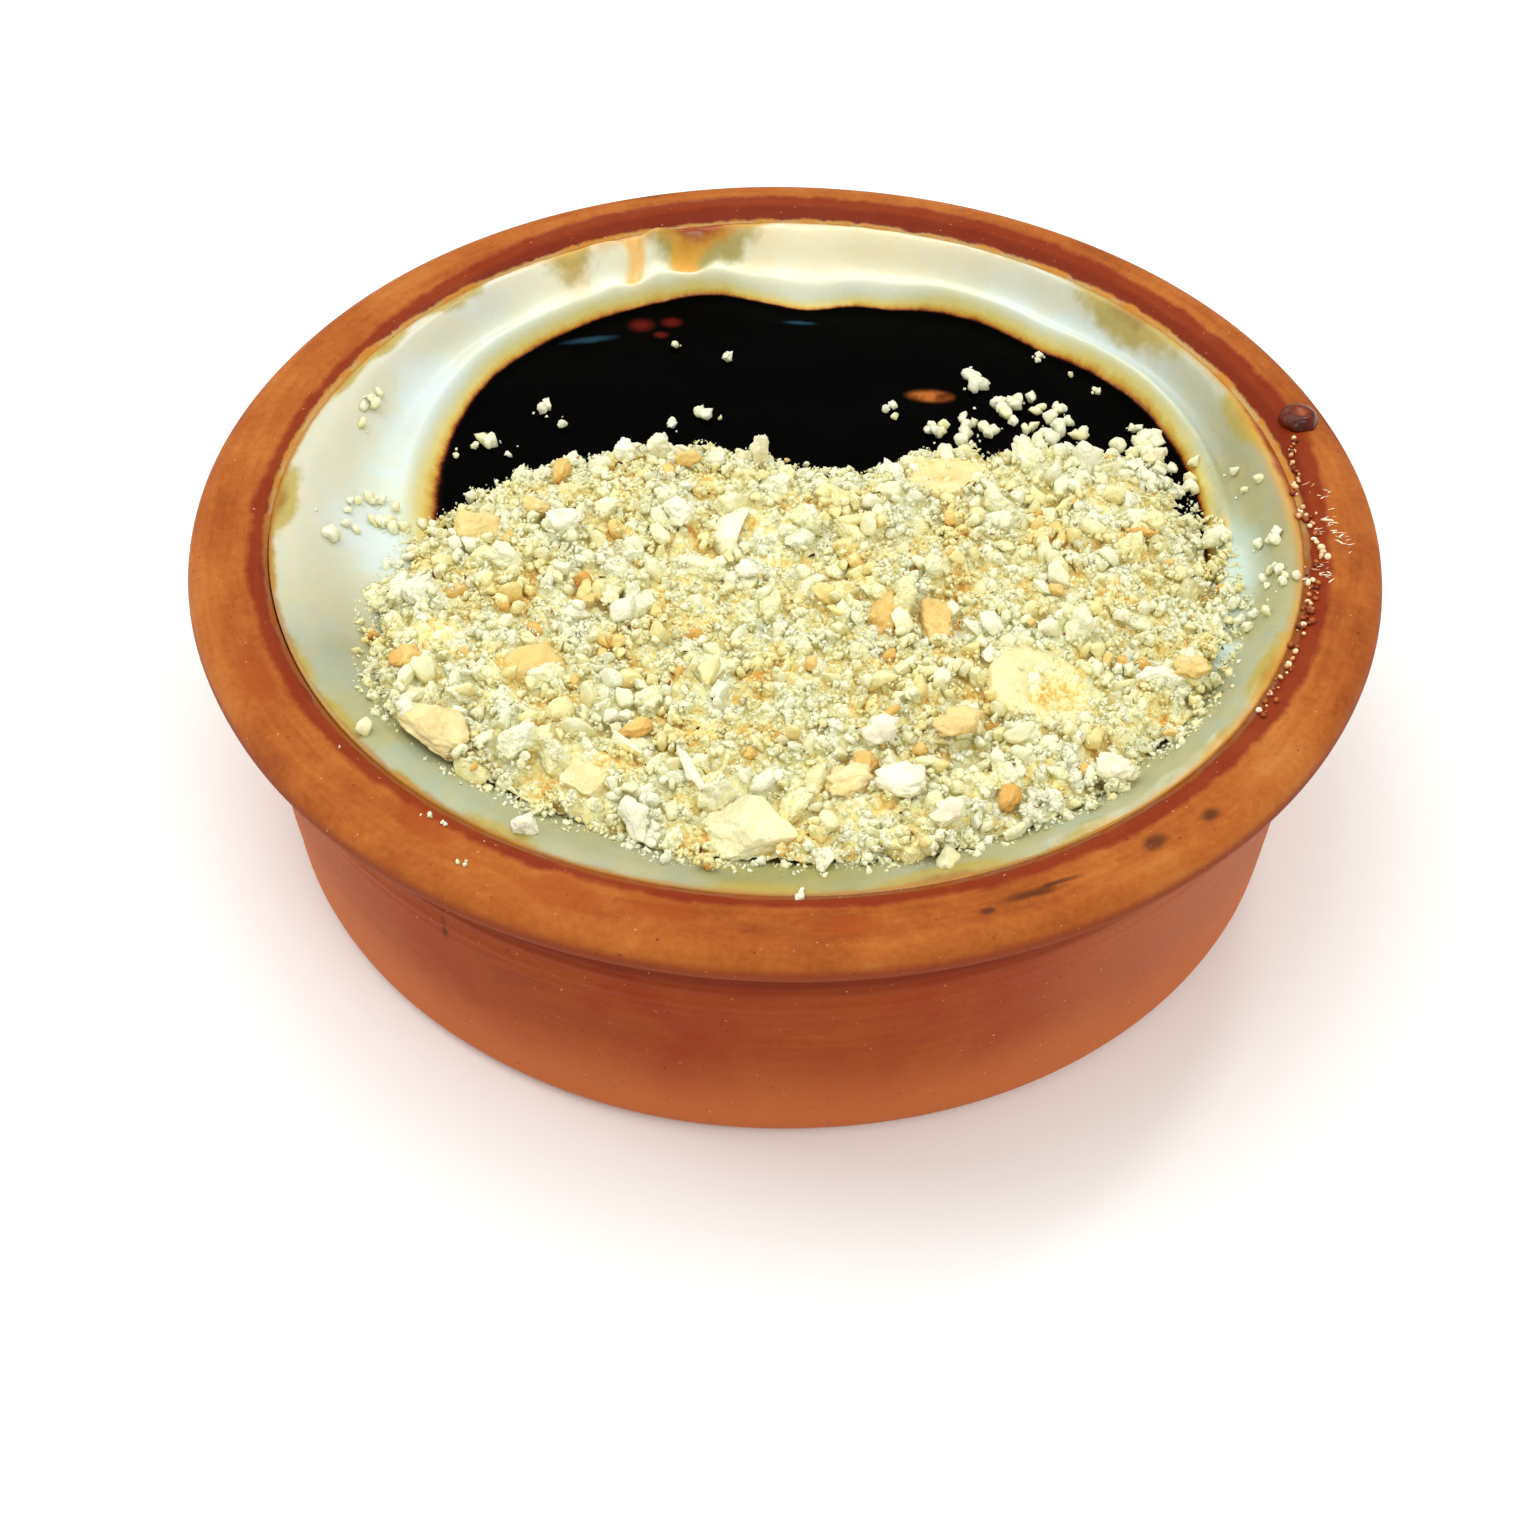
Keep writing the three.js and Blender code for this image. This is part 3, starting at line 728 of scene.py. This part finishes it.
def nut_finish(name, colours, skin_share=0.0, meal_share=0.0):
    """Dry broken hazelnut: a tone for each grain, cloudy inside, rough, and grainy where it is meal, with painted shade
    in the meal's gaps.
    """
    nut = Finish(name)
    place = nut.place()
    cloud = nut.grain(place, 0.9, 3, 0.5)
    rough = nut.grain(place, 3.4, 4, 0.6, seed=6)
    tone = nut.read("tone") + 0.45 * (cloud - 0.5) + 0.25 * (rough - 0.5)
    if meal_share:
        bent = nut.node("ShaderNodeVectorMath", {"operation": "SCALE"}, {0: place, "Scale": 1 + 0.02 * cloud})
        gap = nut.node("ShaderNodeTexVoronoi", {}, {"Vector": bent, "Scale": 2.3, "Randomness": 1})
        # Painted shade: the tone drops in the gaps between the meal's grains.
        tone = tone - meal_share * 0.2 * nut.step(gap, 0.35, 0.75)
        rough = 0.6 * rough - meal_share * 0.9 * gap
    steps = len(colours) - 1
    stops = [(number / steps, colour) for number, colour in enumerate(colours)]
    flesh = nut.node("ShaderNodeValToRGB", {"stops": stops}, {"Fac": tone})
    if skin_share:
        skin = nut.read("skin") * nut.step(cloud, 0.3, 0.5)
        flesh = nut.mix(skin * skin_share, flesh, paint(206, 144, 66))
    nut.feed(nut.shader.inputs["Base Color"], flesh)
    nut.feed(nut.shader.inputs["Roughness"], 0.55 + 0.25 * cloud)
    nut.feed(nut.shader.inputs["Specular IOR Level"], 0.2)
    nut.feed(nut.shader.inputs["Subsurface Weight"], 0.2)
    nut.feed(nut.shader.inputs["Subsurface Radius"], (1, 0.76, 0.4))
    nut.feed(nut.shader.inputs["Subsurface Scale"], 0.4 * MM)
    nut.relief(rough, 0.22, 1)
    return nut


flesh_colours = [paint(216, 162, 78), paint(231, 203, 122), paint(235, 226, 162), paint(237, 235, 194), paint(240, 241, 216)]
meal_finish = nut_finish("packed_nut_meal", flesh_colours, 0, 1)
crumb_finish = nut_finish("crushed_hazelnut", flesh_colours, 0.15)
toasted_finish = nut_finish("toasted_hazelnut", [paint(214, 158, 76), paint(230, 188, 104), paint(240, 214, 142)], 0.3)
dark_finish = nut_finish("hazelnut_skin", [paint(40, 16, 8), paint(92, 42, 16), paint(160, 92, 40)])

nut_core = make_piece("nut_heap_core", core_shape, meal_finish)
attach(nut_core, "root")
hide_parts("nut_heap")


# ---- Large pieces of hazelnut -------------------------------------------------------------------
# Split halves with the hollow of the seed leaf, curved shells and broken lumps, dry and toasted.
# They were strewn with the crumbs and lie half sunk in them.
# Name, kind, length, width and depth, turn and tilt in degrees, tone from toasted 0 to white 1.
large_nuts = [
    ("hazelnut_half_back", "half", (9.6, 8.4, 5.4), 10, -14, 0.5),
    ("hazelnut_half_right", "half", (11, 11.5, 6), 80, 16, 0.62),
    ("hazelnut_slab_front", "lump", (10.4, 7, 5), 12, 24, 0.72),
    ("hazelnut_slab_left", "lump", (8.2, 6.6, 4.6), 140, 20, 0.55),
    ("hazelnut_lump_left", "lump", (6.2, 5.6, 5), 30, 12, 0.98),
    ("hazelnut_curl_left", "shell", (7.4, 6.4, 5.6), 205, 22, 0.3),
    ("hazelnut_crescent", "shell", (8.2, 6.2, 5), 75, 12, 0.9),
    ("hazelnut_toasted_1", "lump", (4.4, 6.2, 4.6), -12, 10, 0.2),
    ("hazelnut_toasted_2", "lump", (4.2, 6, 4.6), 14, -10, 0.28),
    ("hazelnut_chip_back", "lump", (6.4, 5.4, 4.2), 20, 10, 0.42),
    ("hazelnut_chip_front", "lump", (6.4, 5.2, 4.4), 60, 18, 0.6),
]
nut_chance = np.random.default_rng(31)
kernel_colours = [paint(220, 170, 90), paint(230, 198, 122), paint(237, 219, 158), paint(241, 236, 194), paint(244, 245, 222)]
kernel_finish = nut_finish("hazelnut_kernel", kernel_colours, 0.4)


def broken_lump(size, cuts, faces, chance, roughness=0.06):
    """A lump of kernel: an oval ball with flat breaks where planes cut it, and a rough surface."""
    shape = bmesh.new()
    bmesh.ops.create_icosphere(shape, subdivisions=faces, radius=1)
    planes = []
    for _ in range(cuts):
        planes.append((Vector(chance.normal(size=3)).normalized(), chance.uniform(0.42, 0.82)))
    seed = Vector(chance.uniform(-50, 50, 3))
    skin_layer = shape.verts.layers.float.new("skin")
    for corner in shape.verts:
        spot = corner.co.copy()
        for facing, depth in planes:
            over = spot.dot(facing) - depth
            if over > 0:
                spot -= facing * over * 0.94
        untouched = (spot - corner.co).length < 0.02
        tanned = smooth_step(noise.noise(corner.co * 1.3 + seed), 0.05, 0.35)
        corner[skin_layer] = 0.2 * untouched + 0.5 * tanned
        spot *= 1 + roughness * 2 * noise.noise(spot * 2.2 + seed) + roughness * noise.noise(spot * 6 + seed)
        corner.co = [0.5 * side * part for side, part in zip(size, spot)]
    return shape


def split_half(size, chance):
    """Half a kernel, its flat face up: a thick bowl with a toasted hollow in the middle."""
    shape = bmesh.new()
    bmesh.ops.create_icosphere(shape, subdivisions=5, radius=1)
    skin_layer = shape.verts.layers.float.new("skin")
    seed = Vector(chance.uniform(-50, 50, 3))
    for corner in shape.verts:
        spot = corner.co.copy()
        out = hypot(spot.x / 0.5, spot.y / 0.4)
        if spot.z > 0.3:
            spot.z = 0.3 + (spot.z - 0.3) * 0.16
            spot.z -= 0.42 * exp(-(out ** 2)) + 0.05 * noise.noise(spot * 5 + seed)
            corner[skin_layer] = exp(-((out / 0.75) ** 2))
        else:
            corner[skin_layer] = 0.2 * smooth_step(spot.z, -0.1, -0.7)
        spot *= 1 + 0.08 * noise.noise(spot * 1.7 + seed) + 0.025 * noise.noise(spot * 7 + seed)
        corner.co = [0.5 * side * part for side, part in zip(size, spot)]
    return shape


def curved_shell(size, chance):
    """A curved flake off a kernel's outside: a ball opened on one side and scooped out."""
    shape = bmesh.new()
    bmesh.ops.create_icosphere(shape, subdivisions=5, radius=1)
    skin_layer = shape.verts.layers.float.new("skin")
    seed = Vector(chance.uniform(-50, 50, 3))
    for corner in shape.verts:
        spot = corner.co.copy()
        open_side = smooth_step(-spot.y, -0.15, 0.25)
        scooped = 0.5 * (1 - min(1, spot.x ** 2 + spot.z ** 2 * 0.8)) ** 0.5
        spot.y = spot.y * (1 - open_side) + open_side * (-0.1 + scooped + 0.05 * noise.noise(spot * 4 + seed))
        corner[skin_layer] = 0.6 * open_side * scooped * 2
        spot *= 1 + 0.08 * noise.noise(spot * 2 + seed) + 0.03 * noise.noise(spot * 7 + seed)
        corner.co = [0.5 * side * part for side, part in zip(size, spot)]
    return shape


kept_clear = []
nut_trees = []
for name, kind, size, turn, tilt, tone in large_nuts:
    low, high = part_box(name)
    middle = (low + high) / 2 / MM
    if kind == "half":
        nut_shape = split_half(size, nut_chance)
    elif kind == "shell":
        nut_shape = curved_shell(size, nut_chance)
    else:
        nut_shape = broken_lump(size, 6, 5, nut_chance, 0.09)
    tone_layer = nut_shape.verts.layers.float.new("tone")
    for corner in nut_shape.verts:
        corner[tone_layer] = tone
    lay = Matrix.Rotation(radians(turn), 4, "Z") @ Matrix.Rotation(radians(tilt), 4, "X")
    nut_shape.transform(Matrix.Translation(middle) @ lay)
    nut_trees.append((BVHTree.FromBMesh(nut_shape), middle - Vector(size), middle + Vector(size)))
    nut = make_piece(name.replace("hazelnut", "nut"), nut_shape, kernel_finish)
    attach(nut, "root")
    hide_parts(name)
    kept_clear.append((middle.x, middle.y, 0.42 * size[0], 0.42 * size[1], radians(turn)))


def on_large_nut(x, y):
    for middle_x, middle_y, half_length, half_width, turn in kept_clear:
        ahead = (x - middle_x) * cos(turn) + (y - middle_y) * sin(turn)
        aside = (y - middle_y) * cos(turn) - (x - middle_x) * sin(turn)
        if (ahead / half_length) ** 2 + (aside / half_width) ** 2 < 1:
            return True
    return False


# ---- Crumbs of the heap -------------------------------------------------------------------------
# Caked lumps, chips, toasted bits, grains, dust and flecks of skin, each a real little solid. They
# are strewn one by one, largest first, and a map of heights says what each comes to rest on.
cell = 0.2
map_side = 2 * floor(rim_radius / cell) + 1
map_places = (np.arange(map_side) - map_side // 2) * cell
height_map = np.full((map_side, map_side), float(burnt_level))
drop_height = 60


def map_heights(tree, low, high):
    """Raises the map to a piece's surface inside a box given by two corners."""
    for row, y in enumerate(map_places):
        if not low[1] <= y <= high[1]:
            continue
        for column, x in enumerate(map_places):
            if not low[0] <= x <= high[0]:
                continue
            hit = tree.ray_cast((x, y, drop_height), (0, 0, -1))[0]
            if hit:
                height_map[row, column] = max(height_map[row, column], hit.z)


map_heights(skin_tree, (-50, -52), (54, 30))
map_heights(core_tree, (-45, -52), (54, 26))
for nut_tree, low, high in nut_trees:
    map_heights(nut_tree, low, high)


def settle(x, y, reach, thickness, sink):
    """Rests a grain on the map of heights and raises the map; returns the height of its middle."""
    first_column = int(round((x - reach) / cell)) + map_side // 2
    first_row = int(round((y - reach) / cell)) + map_side // 2
    cells = max(1, int(round(2 * reach / cell)))
    window = height_map[first_row:first_row + cells + 1, first_column:first_column + cells + 1]
    rows = map_places[first_row:first_row + cells + 1, None] - y
    columns = map_places[None, first_column:first_column + cells + 1] - x
    away = (rows ** 2 + columns ** 2) / reach ** 2
    under = window[away < 0.7] if np.any(away < 0.7) else window
    middle = 0.5 * (under.max() + under.mean()) + thickness * (0.5 - sink)
    cap = middle + 0.5 * thickness * np.sqrt(np.clip(1 - away, 0, 1))
    window[away < 1] = np.maximum(window, cap)[away < 1]
    return middle


def splinter(points, chance):
    """A small angular grain: the hull of a few points scattered near a ball."""
    shape = bmesh.new()
    for _ in range(points):
        shape.verts.new(Vector(chance.normal(size=3)).normalized() * 0.5 * chance.uniform(0.72, 1.12))
    hull = bmesh.ops.convex_hull(shape, input=shape.verts)
    bmesh.ops.delete(shape, geom=list(set(hull["geom_interior"] + hull["geom_unused"])), context="VERTS")
    bmesh.ops.recalc_face_normals(shape, faces=shape.faces)
    return shape


def as_arrays(shape):
    """Corners, triangles and skin values of a shape, as arrays; the shape is used up."""
    bmesh.ops.triangulate(shape, faces=shape.faces)
    shape.verts.index_update()
    corners = np.array([corner.co for corner in shape.verts])
    triangles = np.array([[corner.index for corner in face.verts] for face in shape.faces])
    layer = shape.verts.layers.float.get("skin")
    skin = np.array([corner[layer] if layer else 0 for corner in shape.verts])
    shape.free()
    return corners, triangles, skin


def random_turn(chance):
    """A rotation drawn evenly from all rotations."""
    return np.array(Quaternion(chance.normal(size=4)).normalized().to_matrix())


def joined_grains(name, stock, grains, finish, smooth=False):
    """Joins a copy of a stock shape for each grain (which, middle, sides, turn, tone) into one piece."""
    corners, triangles, skins, tones = [], [], [], []
    start = 0
    for which, middle, sides, turn, tone in grains:
        shape_corners, shape_triangles, skin = stock[which]
        turned = (shape_corners * sides) @ turn.T
        corners.append(turned + middle)
        triangles.append(shape_triangles + start)
        skins.append(skin)
        tones.append(tone + painted_underside_shade * turned[:, 2] / np.abs(turned[:, 2]).max())
        start += len(skin)
    mesh = bpy.data.meshes.new(name)
    mesh.from_pydata(np.concatenate(corners) * MM, [], np.concatenate(triangles).tolist())
    mesh.attributes.new("skin", "FLOAT", "POINT").data.foreach_set("value", np.concatenate(skins))
    mesh.attributes.new("tone", "FLOAT", "POINT").data.foreach_set("value", np.concatenate(tones))
    mesh.polygons.foreach_set("use_smooth", [smooth] * len(mesh.polygons))
    mesh.materials.append(finish.material)
    piece = bpy.data.objects.new(name, mesh)
    bpy.context.scene.collection.objects.link(piece)
    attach(piece, "root")
    return piece


# Painted shade: a grain's top is painted paler than its underside by this much tone either way.
painted_underside_shade = 0.22
chance = np.random.default_rng(7)
cake_stock = [as_arrays(broken_lump((1, 1, 1), 5, 4, chance, 0.16)) for _ in range(12)]
chip_stock = [as_arrays(broken_lump((1, 1, 1), 7, 3, chance, 0.11)) for _ in range(24)]
lump_stock = [as_arrays(broken_lump((1, 1, 1), 6, 2, chance, 0.25)) for _ in range(30)]
grain_stock = [as_arrays(splinter(9, chance)) for _ in range(24)]
dust_stock = [as_arrays(splinter(7, chance)) for _ in range(24)]
# Name, finish, stock, how many, smallest and largest size, flattest and roundest, lowest and highest
# tone over the patch's own, how far a grain sinks in, how far the pile may stand up, smooth or not.
crumb_kinds = [
    ("caked_lumps", meal_finish, cake_stock, 130, (3, 6.4), (0.45, 0.8), (0.05, 0.25), 0.6, 0.45, True),
    ("nut_chips", crumb_finish, chip_stock, 150, (2.6, 4.6), (0.35, 0.7), (-0.2, 0.3), 0.4, 0.8, True),
    ("nut_lumps", crumb_finish, chip_stock, 480, (1.5, 2.8), (0.5, 0.9), (-0.15, 0.25), 0.45, 0.7, True),
    ("toasted_bits", toasted_finish, chip_stock, 64, (1.2, 2.6), (0.5, 0.9), (-0.5, 0.2), 0.45, 0.5, True),
    ("nut_crumbs", crumb_finish, lump_stock, 2300, (0.8, 1.8), (0.5, 0.95), (-0.1, 0.16), 0.6, 0.4, True),
    ("nut_grains", crumb_finish, grain_stock, 6500, (0.45, 0.9), (0.6, 1), (-0.1, 0.16), 0.5, 0.5, True),
    ("nut_dust", crumb_finish, dust_stock, 12000, (0.22, 0.42), (0.6, 1), (-0.05, 0.18), 0.35, 0.8, False),
    ("skin_flecks", dark_finish, dust_stock, 170, (0.4, 1.3), (0.22, 0.45), (-0.6, 0.4), 0.4, 1.2, False),
]
for name, finish, stock, count, sizes, flatness, tones, sink, allowance, smooth in crumb_kinds:
    grains = []
    tries = 0
    while len(grains) < count and tries < 6 * count:
        tries += 1
        x = chance.uniform(-46, 53)
        y = chance.uniform(-52, 24)
        length = sizes[0] + (sizes[1] - sizes[0]) * chance.uniform() ** 1.6
        inward = heap_inward(x, y)
        if inward < chance.exponential(1.1) - 1.6 + 0.4 * (length - 0.3) or hypot(x, y) > skin_edge - 2.2:
            continue
        if on_large_nut(x, y) and chance.uniform() < 0.95:
            continue
        sides = np.array([length, length * chance.uniform(*flatness), length * chance.uniform(*flatness)])
        row = int(round(y / cell)) + map_side // 2
        column = int(round(x / cell)) + map_side // 2
        if inward > 1 and height_map[row, column] > heap_height(x, y) + allowance:
            continue
        z = settle(x, y, 0.5 * sides.mean(), 0.8 * sides.mean(), sink)
        tone = patch_tone(x, y) + chance.uniform(*tones)
        grains.append((chance.integers(len(stock)), (x, y, z), sides, random_turn(chance), tone))
    crumbs = joined_grains(name, stock, grains, finish, smooth)


# ---- Chips that stand out -----------------------------------------------------------------------
# The single chips that catch the eye on top of the heap: white, yellow and toasted ones.
# Where they lie, length, width and depth, turn in degrees, tone from toasted 0 to white 1.
single_chips = [
    ((17, -32.4), (4.8, 3.8, 1.8), 10, 0.3), ((9.5, -33), (3.8, 3.2, 2.6), 20, 0.95), ((-13.9, -45.2), (3.4, 5, 2.6), 8, 0.95),
    ((-9, -40.2), (1.2, 6.4, 1), 24, 0.95), ((7.5, -37), (2.4, 3, 2), 0, 0), ((6.2, -40.2), (4.6, 4, 2.4), 40, 0.45),
    ((21.1, -41.6), (2.2, 3.2, 2), -20, -0.1), ((40.1, -23.3), (4, 3, 2), 10, 0.25), ((-14.6, -32.7), (3.6, 2, 1.6), 30, 0.1),
    ((-37.7, -24), (3.8, 3, 2.6), 15, 0.05), ((-24.6, 9.7), (2, 3.4, 2), -10, 0.1), ((-10.9, 9.7), (3.2, 2, 1.8), 30, 0.15),
    ((-26.7, 0.9), (3.6, 1.8, 1.6), -30, 0.3), ((-23.5, -2.7), (4.2, 2.6, 1.8), 8, 1), ((-11.4, -0.6), (3, 3.8, 2.4), 12, 0.9),
    ((-4.1, -9.6), (2.4, 2.6, 2.2), 30, 0.95), ((32.8, 10.3), (3.8, 3.6, 3.4), 0, 0.95), ((37.7, -0.9), (3.4, 0.9, 0.9), -16, -0.1),
    ((-23.9, -46.2), (3, 2.6, 2.2), 60, 0.95), ((15.6, -44.7), (4, 3, 2.2), 30, 0.8), ((11, -40.5), (5, 3.6, 2), -14, 0.9),
    ((31.2, -37.9), (4.4, 3.2, 2.2), -30, 0.75), ((-2.8, 14), (2.2, 2, 4.2), 20, 0.8), ((41.4, 17.5), (2.8, 2.2, 2.4), 20, 0.7),
    ((-18, 13.6), (2.4, 3.2, 2.6), 30, 0.95), ((-14, 13.2), (2.8, 2.6, 3), 70, 0.8),
]
chips = []
for (x, y), sides, turn, tone in single_chips:
    z = settle(x, y, 0.4 * (sides[0] + sides[1]) / 2, sides[2], 0.3)
    lay = np.array(Matrix.Rotation(radians(turn), 3, "Z") @ Matrix.Rotation(radians(chance.uniform(-14, 14)), 3, "X"))
    chips.append((chance.integers(len(cake_stock)), (x, y, z), np.array(sides), lay, tone))
standout_chips = joined_grains("standout_chips", cake_stock, chips, kernel_finish, True)


# ---- Loose crumbs -------------------------------------------------------------------------------
# Crumbs that rolled off the heap, on the burnt middle, on the cream skin and on the rim. They lie
# straight on the skin or the clay, singly or a few together.
# Where, how many, how far they spread and how large they are.
loose_spots = [
    ((-27.7, 26.3), 2, 0.7, 1.3), ((-25.5, 22.9), 1, 0, 1), ((-33.4, 19.8), 3, 0.7, 1.4), ((-35, 18.7), 1, 0, 0.9),
    ((-31.2, 17.5), 1, 0, 0.9), ((-37, 17), 1, 0, 0.8), ((-13.1, 38.1), 1, 0, 1), ((-6.7, 35.7), 2, 0.5, 1.3),
    ((-9, 25.6), 2, 0.6, 1.4), ((-7.6, 24.7), 1, 0, 0.8), ((-13, 23.2), 2, 0.4, 1.1), ((21.9, 31.5), 4, 1, 1.5),
    ((24.3, 26.5), 5, 1.4, 1.5), ((26.1, 27.9), 4, 1.2, 1.4), ((23, 22.8), 3, 1, 1.4), ((29.6, 36.5), 3, 0.8, 0.9),
    ((33, 33.5), 1, 0, 0.8), ((31.5, 27.2), 4, 1.4, 1.2), ((31.9, 23.4), 7, 1.8, 1.6), ((27.5, 24), 6, 2, 1.3),
    ((35.5, 30.3), 2, 0.8, 0.8), ((12.6, 27.2), 3, 1, 0.9), ((16.5, 23.2), 3, 1, 1.2), ((20.5, 24.5), 4, 1.2, 1.2),
    ((18.6, 21), 5, 1.6, 1.4), ((29, 19.7), 7, 2, 1.7), ((30.4, 16.2), 7, 2, 1.8), ((35, 17), 7, 2.2, 1.4),
    ((41.4, 20.5), 6, 1.4, 2), ((39, 18.1), 7, 1.8, 1.6), ((43, 14.5), 7, 1.8, 1.7), ((38.5, 23.5), 3, 1, 1),
    ((-45, 18.7), 5, 1.2, 1.3), ((-45, 5), 3, 1.2, 1.1), ((-47.8, -2.7), 2, 0.5, 1.8), ((-43.2, 1.5), 7, 1.5, 1.3),
    ((-47, 3), 2, 0.8, 0.9), ((-38.9, 3.2), 4, 1.2, 1.2), ((-43.4, 4.8), 3, 1, 1.1), ((-46.9, -0.6), 3, 0.8, 1),
    ((50.3, -10.2), 4, 1.2, 0.9), ((51.1, -2.2), 4, 0.8, 1.2), ((50.2, -7.8), 7, 1.3, 1.1), ((50.2, 8.2), 2, 0.7, 1),
    ((47, -12.8), 8, 1.6, 1.2), ((49, 11.5), 1, 0, 1.2), ((-40.7, -33.8), 1, 0, 1.5), ((-32.1, -45.8), 2, 0.6, 0.5),
    ((-29.7, -51.4), 2, 0.8, 0.5), ((1.7, -54.3), 2, 0.4, 0.9), ((-33.1, -45.2), 1, 0, 0.6),
]


def surface_height(x, y):
    """Height of the clay, skin or heap at a place, whichever lies on top."""
    hits = [tree.ray_cast((x, y, drop_height), (0, 0, -1))[0] for tree in (dish_tree, skin_tree, core_tree)]
    return max(hit.z for hit in hits if hit)


loose = []
for (x, y), count, spread, size in loose_spots:
    for _ in range(count):
        crumb_x = x + spread * chance.normal() * 0.7
        crumb_y = y + spread * chance.normal() * 0.7
        sides = 1.25 * size * chance.uniform(0.65, 1.1, 3)
        middle = (crumb_x, crumb_y, surface_height(crumb_x, crumb_y) + 0.36 * sides.mean())
        loose.append((chance.integers(len(lump_stock)), middle, sides, random_turn(chance), chance.uniform(0.55, 1)))
        for _ in range(chance.integers(2)):
            dust_x = crumb_x + 0.8 * size * chance.normal()
            dust_y = crumb_y + 0.8 * size * chance.normal()
            sides = chance.uniform(0.2, 0.45, 3)
            middle = (dust_x, dust_y, surface_height(dust_x, dust_y) + 0.36 * sides.mean())
            loose.append((chance.integers(len(lump_stock)), middle, sides, random_turn(chance), chance.uniform(0.6, 1)))
loose_crumbs = joined_grains("loose_crumbs", lump_stock, loose, crumb_finish, True)


# ---- Burnt-on milk ------------------------------------------------------------------------------
# Milk that boiled over at the right: a blister on the rim, a string of tiny beads along the skin's
# edge, and dried streaks of milk sugar on the clay.
blister_place = (56.1, 16.1)
blister_size = (4.3, 4.2, 3.4)
bead_string = [(54.9, 12.7), (54.4, 2.5), (55.5, -4.8), (53.5, -13.5), (50.1, -22.5), (46.1, -30.3)]
beads_between = 24
sugar_spots = [((57, -1.1), 12), ((58.3, -3.5), 14), ((55.9, -9.1), 12), ((54.7, -9.6), 8), ((56.6, 4), 8)]

sugar = Finish("burnt_milk_sugar")
place = sugar.place()
cloud = sugar.grain(place, 0.8, 4, 0.6)
sugar_colours = [paint(40, 10, 4), paint(110, 34, 10), paint(172, 92, 36), paint(236, 206, 160), paint(250, 240, 220)]
stops = [(number / 4, colour) for number, colour in enumerate(sugar_colours)]
sugar.feed(
    sugar.shader.inputs["Base Color"],
    sugar.node("ShaderNodeValToRGB", {"stops": stops}, {"Fac": sugar.read("tone") + 0.5 * (cloud - 0.5)}),
)
sugar.feed(sugar.shader.inputs["Roughness"], 0.16 + 0.2 * cloud)
sugar.feed(sugar.shader.inputs["Specular IOR Level"], 0.25)
sugar.relief(cloud, 0.2, 0.6)

blister_shape = bmesh.new()
bmesh.ops.create_icosphere(blister_shape, subdivisions=5, radius=1)
tone_layer = blister_shape.verts.layers.float.new("tone")
for corner in blister_shape.verts:
    spot = corner.co.copy()
    out = hypot(spot.x, spot.y)
    dent = hump(out, 0, 0.45) if spot.z > 0 else 0
    corner[tone_layer] = 0.1 + 0.3 * dent
    spot.z -= 0.35 * dent
    spot *= 1 + 0.1 * noise.noise(spot * 1.6)
    corner.co = [0.5 * side * part for side, part in zip(blister_size, spot)]
blister_shape.transform(Matrix.Translation((*blister_place, surface_height(*blister_place))))
blister = make_piece("burnt_blister", blister_shape, sugar)
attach(blister, "root")

bead_ball = bmesh.new()
bmesh.ops.create_icosphere(bead_ball, subdivisions=2, radius=0.5)
bead_stock = [as_arrays(bead_ball)]
beads = []
for (start_x, start_y), (end_x, end_y) in zip(bead_string, bead_string[1:]):
    for _ in range(beads_between):
        along = chance.uniform()
        x = start_x + (end_x - start_x) * along + 0.35 * chance.normal()
        y = start_y + (end_y - start_y) * along + 0.35 * chance.normal()
        sides = chance.uniform(0.25, 0.75) * chance.uniform(0.7, 1.3, 3)
        middle = (x, y, surface_height(x, y) + 0.2 * sides.mean())
        beads.append((0, middle, sides, random_turn(chance), chance.uniform(0.1, 0.75)))
milk_beads = joined_grains("milk_beads", bead_stock, beads, sugar, True)

flakes = []
for (x, y), count in sugar_spots:
    for _ in range(count):
        flake_x = x + 0.8 * chance.normal()
        flake_y = y + 1.1 * chance.normal()
        sides = np.array([chance.uniform(0.4, 1.7), chance.uniform(0.12, 0.3), chance.uniform(0.12, 0.3)])
        lay = np.array(Matrix.Rotation(chance.uniform(-0.7, 0.9), 3, "Z"))
        middle = (flake_x, flake_y, surface_height(flake_x, flake_y) + 0.05)
        flakes.append((chance.integers(len(dust_stock)), middle, sides, lay, chance.uniform(0.6, 1)))
sugar_flakes = joined_grains("milk_sugar_flakes", dust_stock, flakes, sugar)
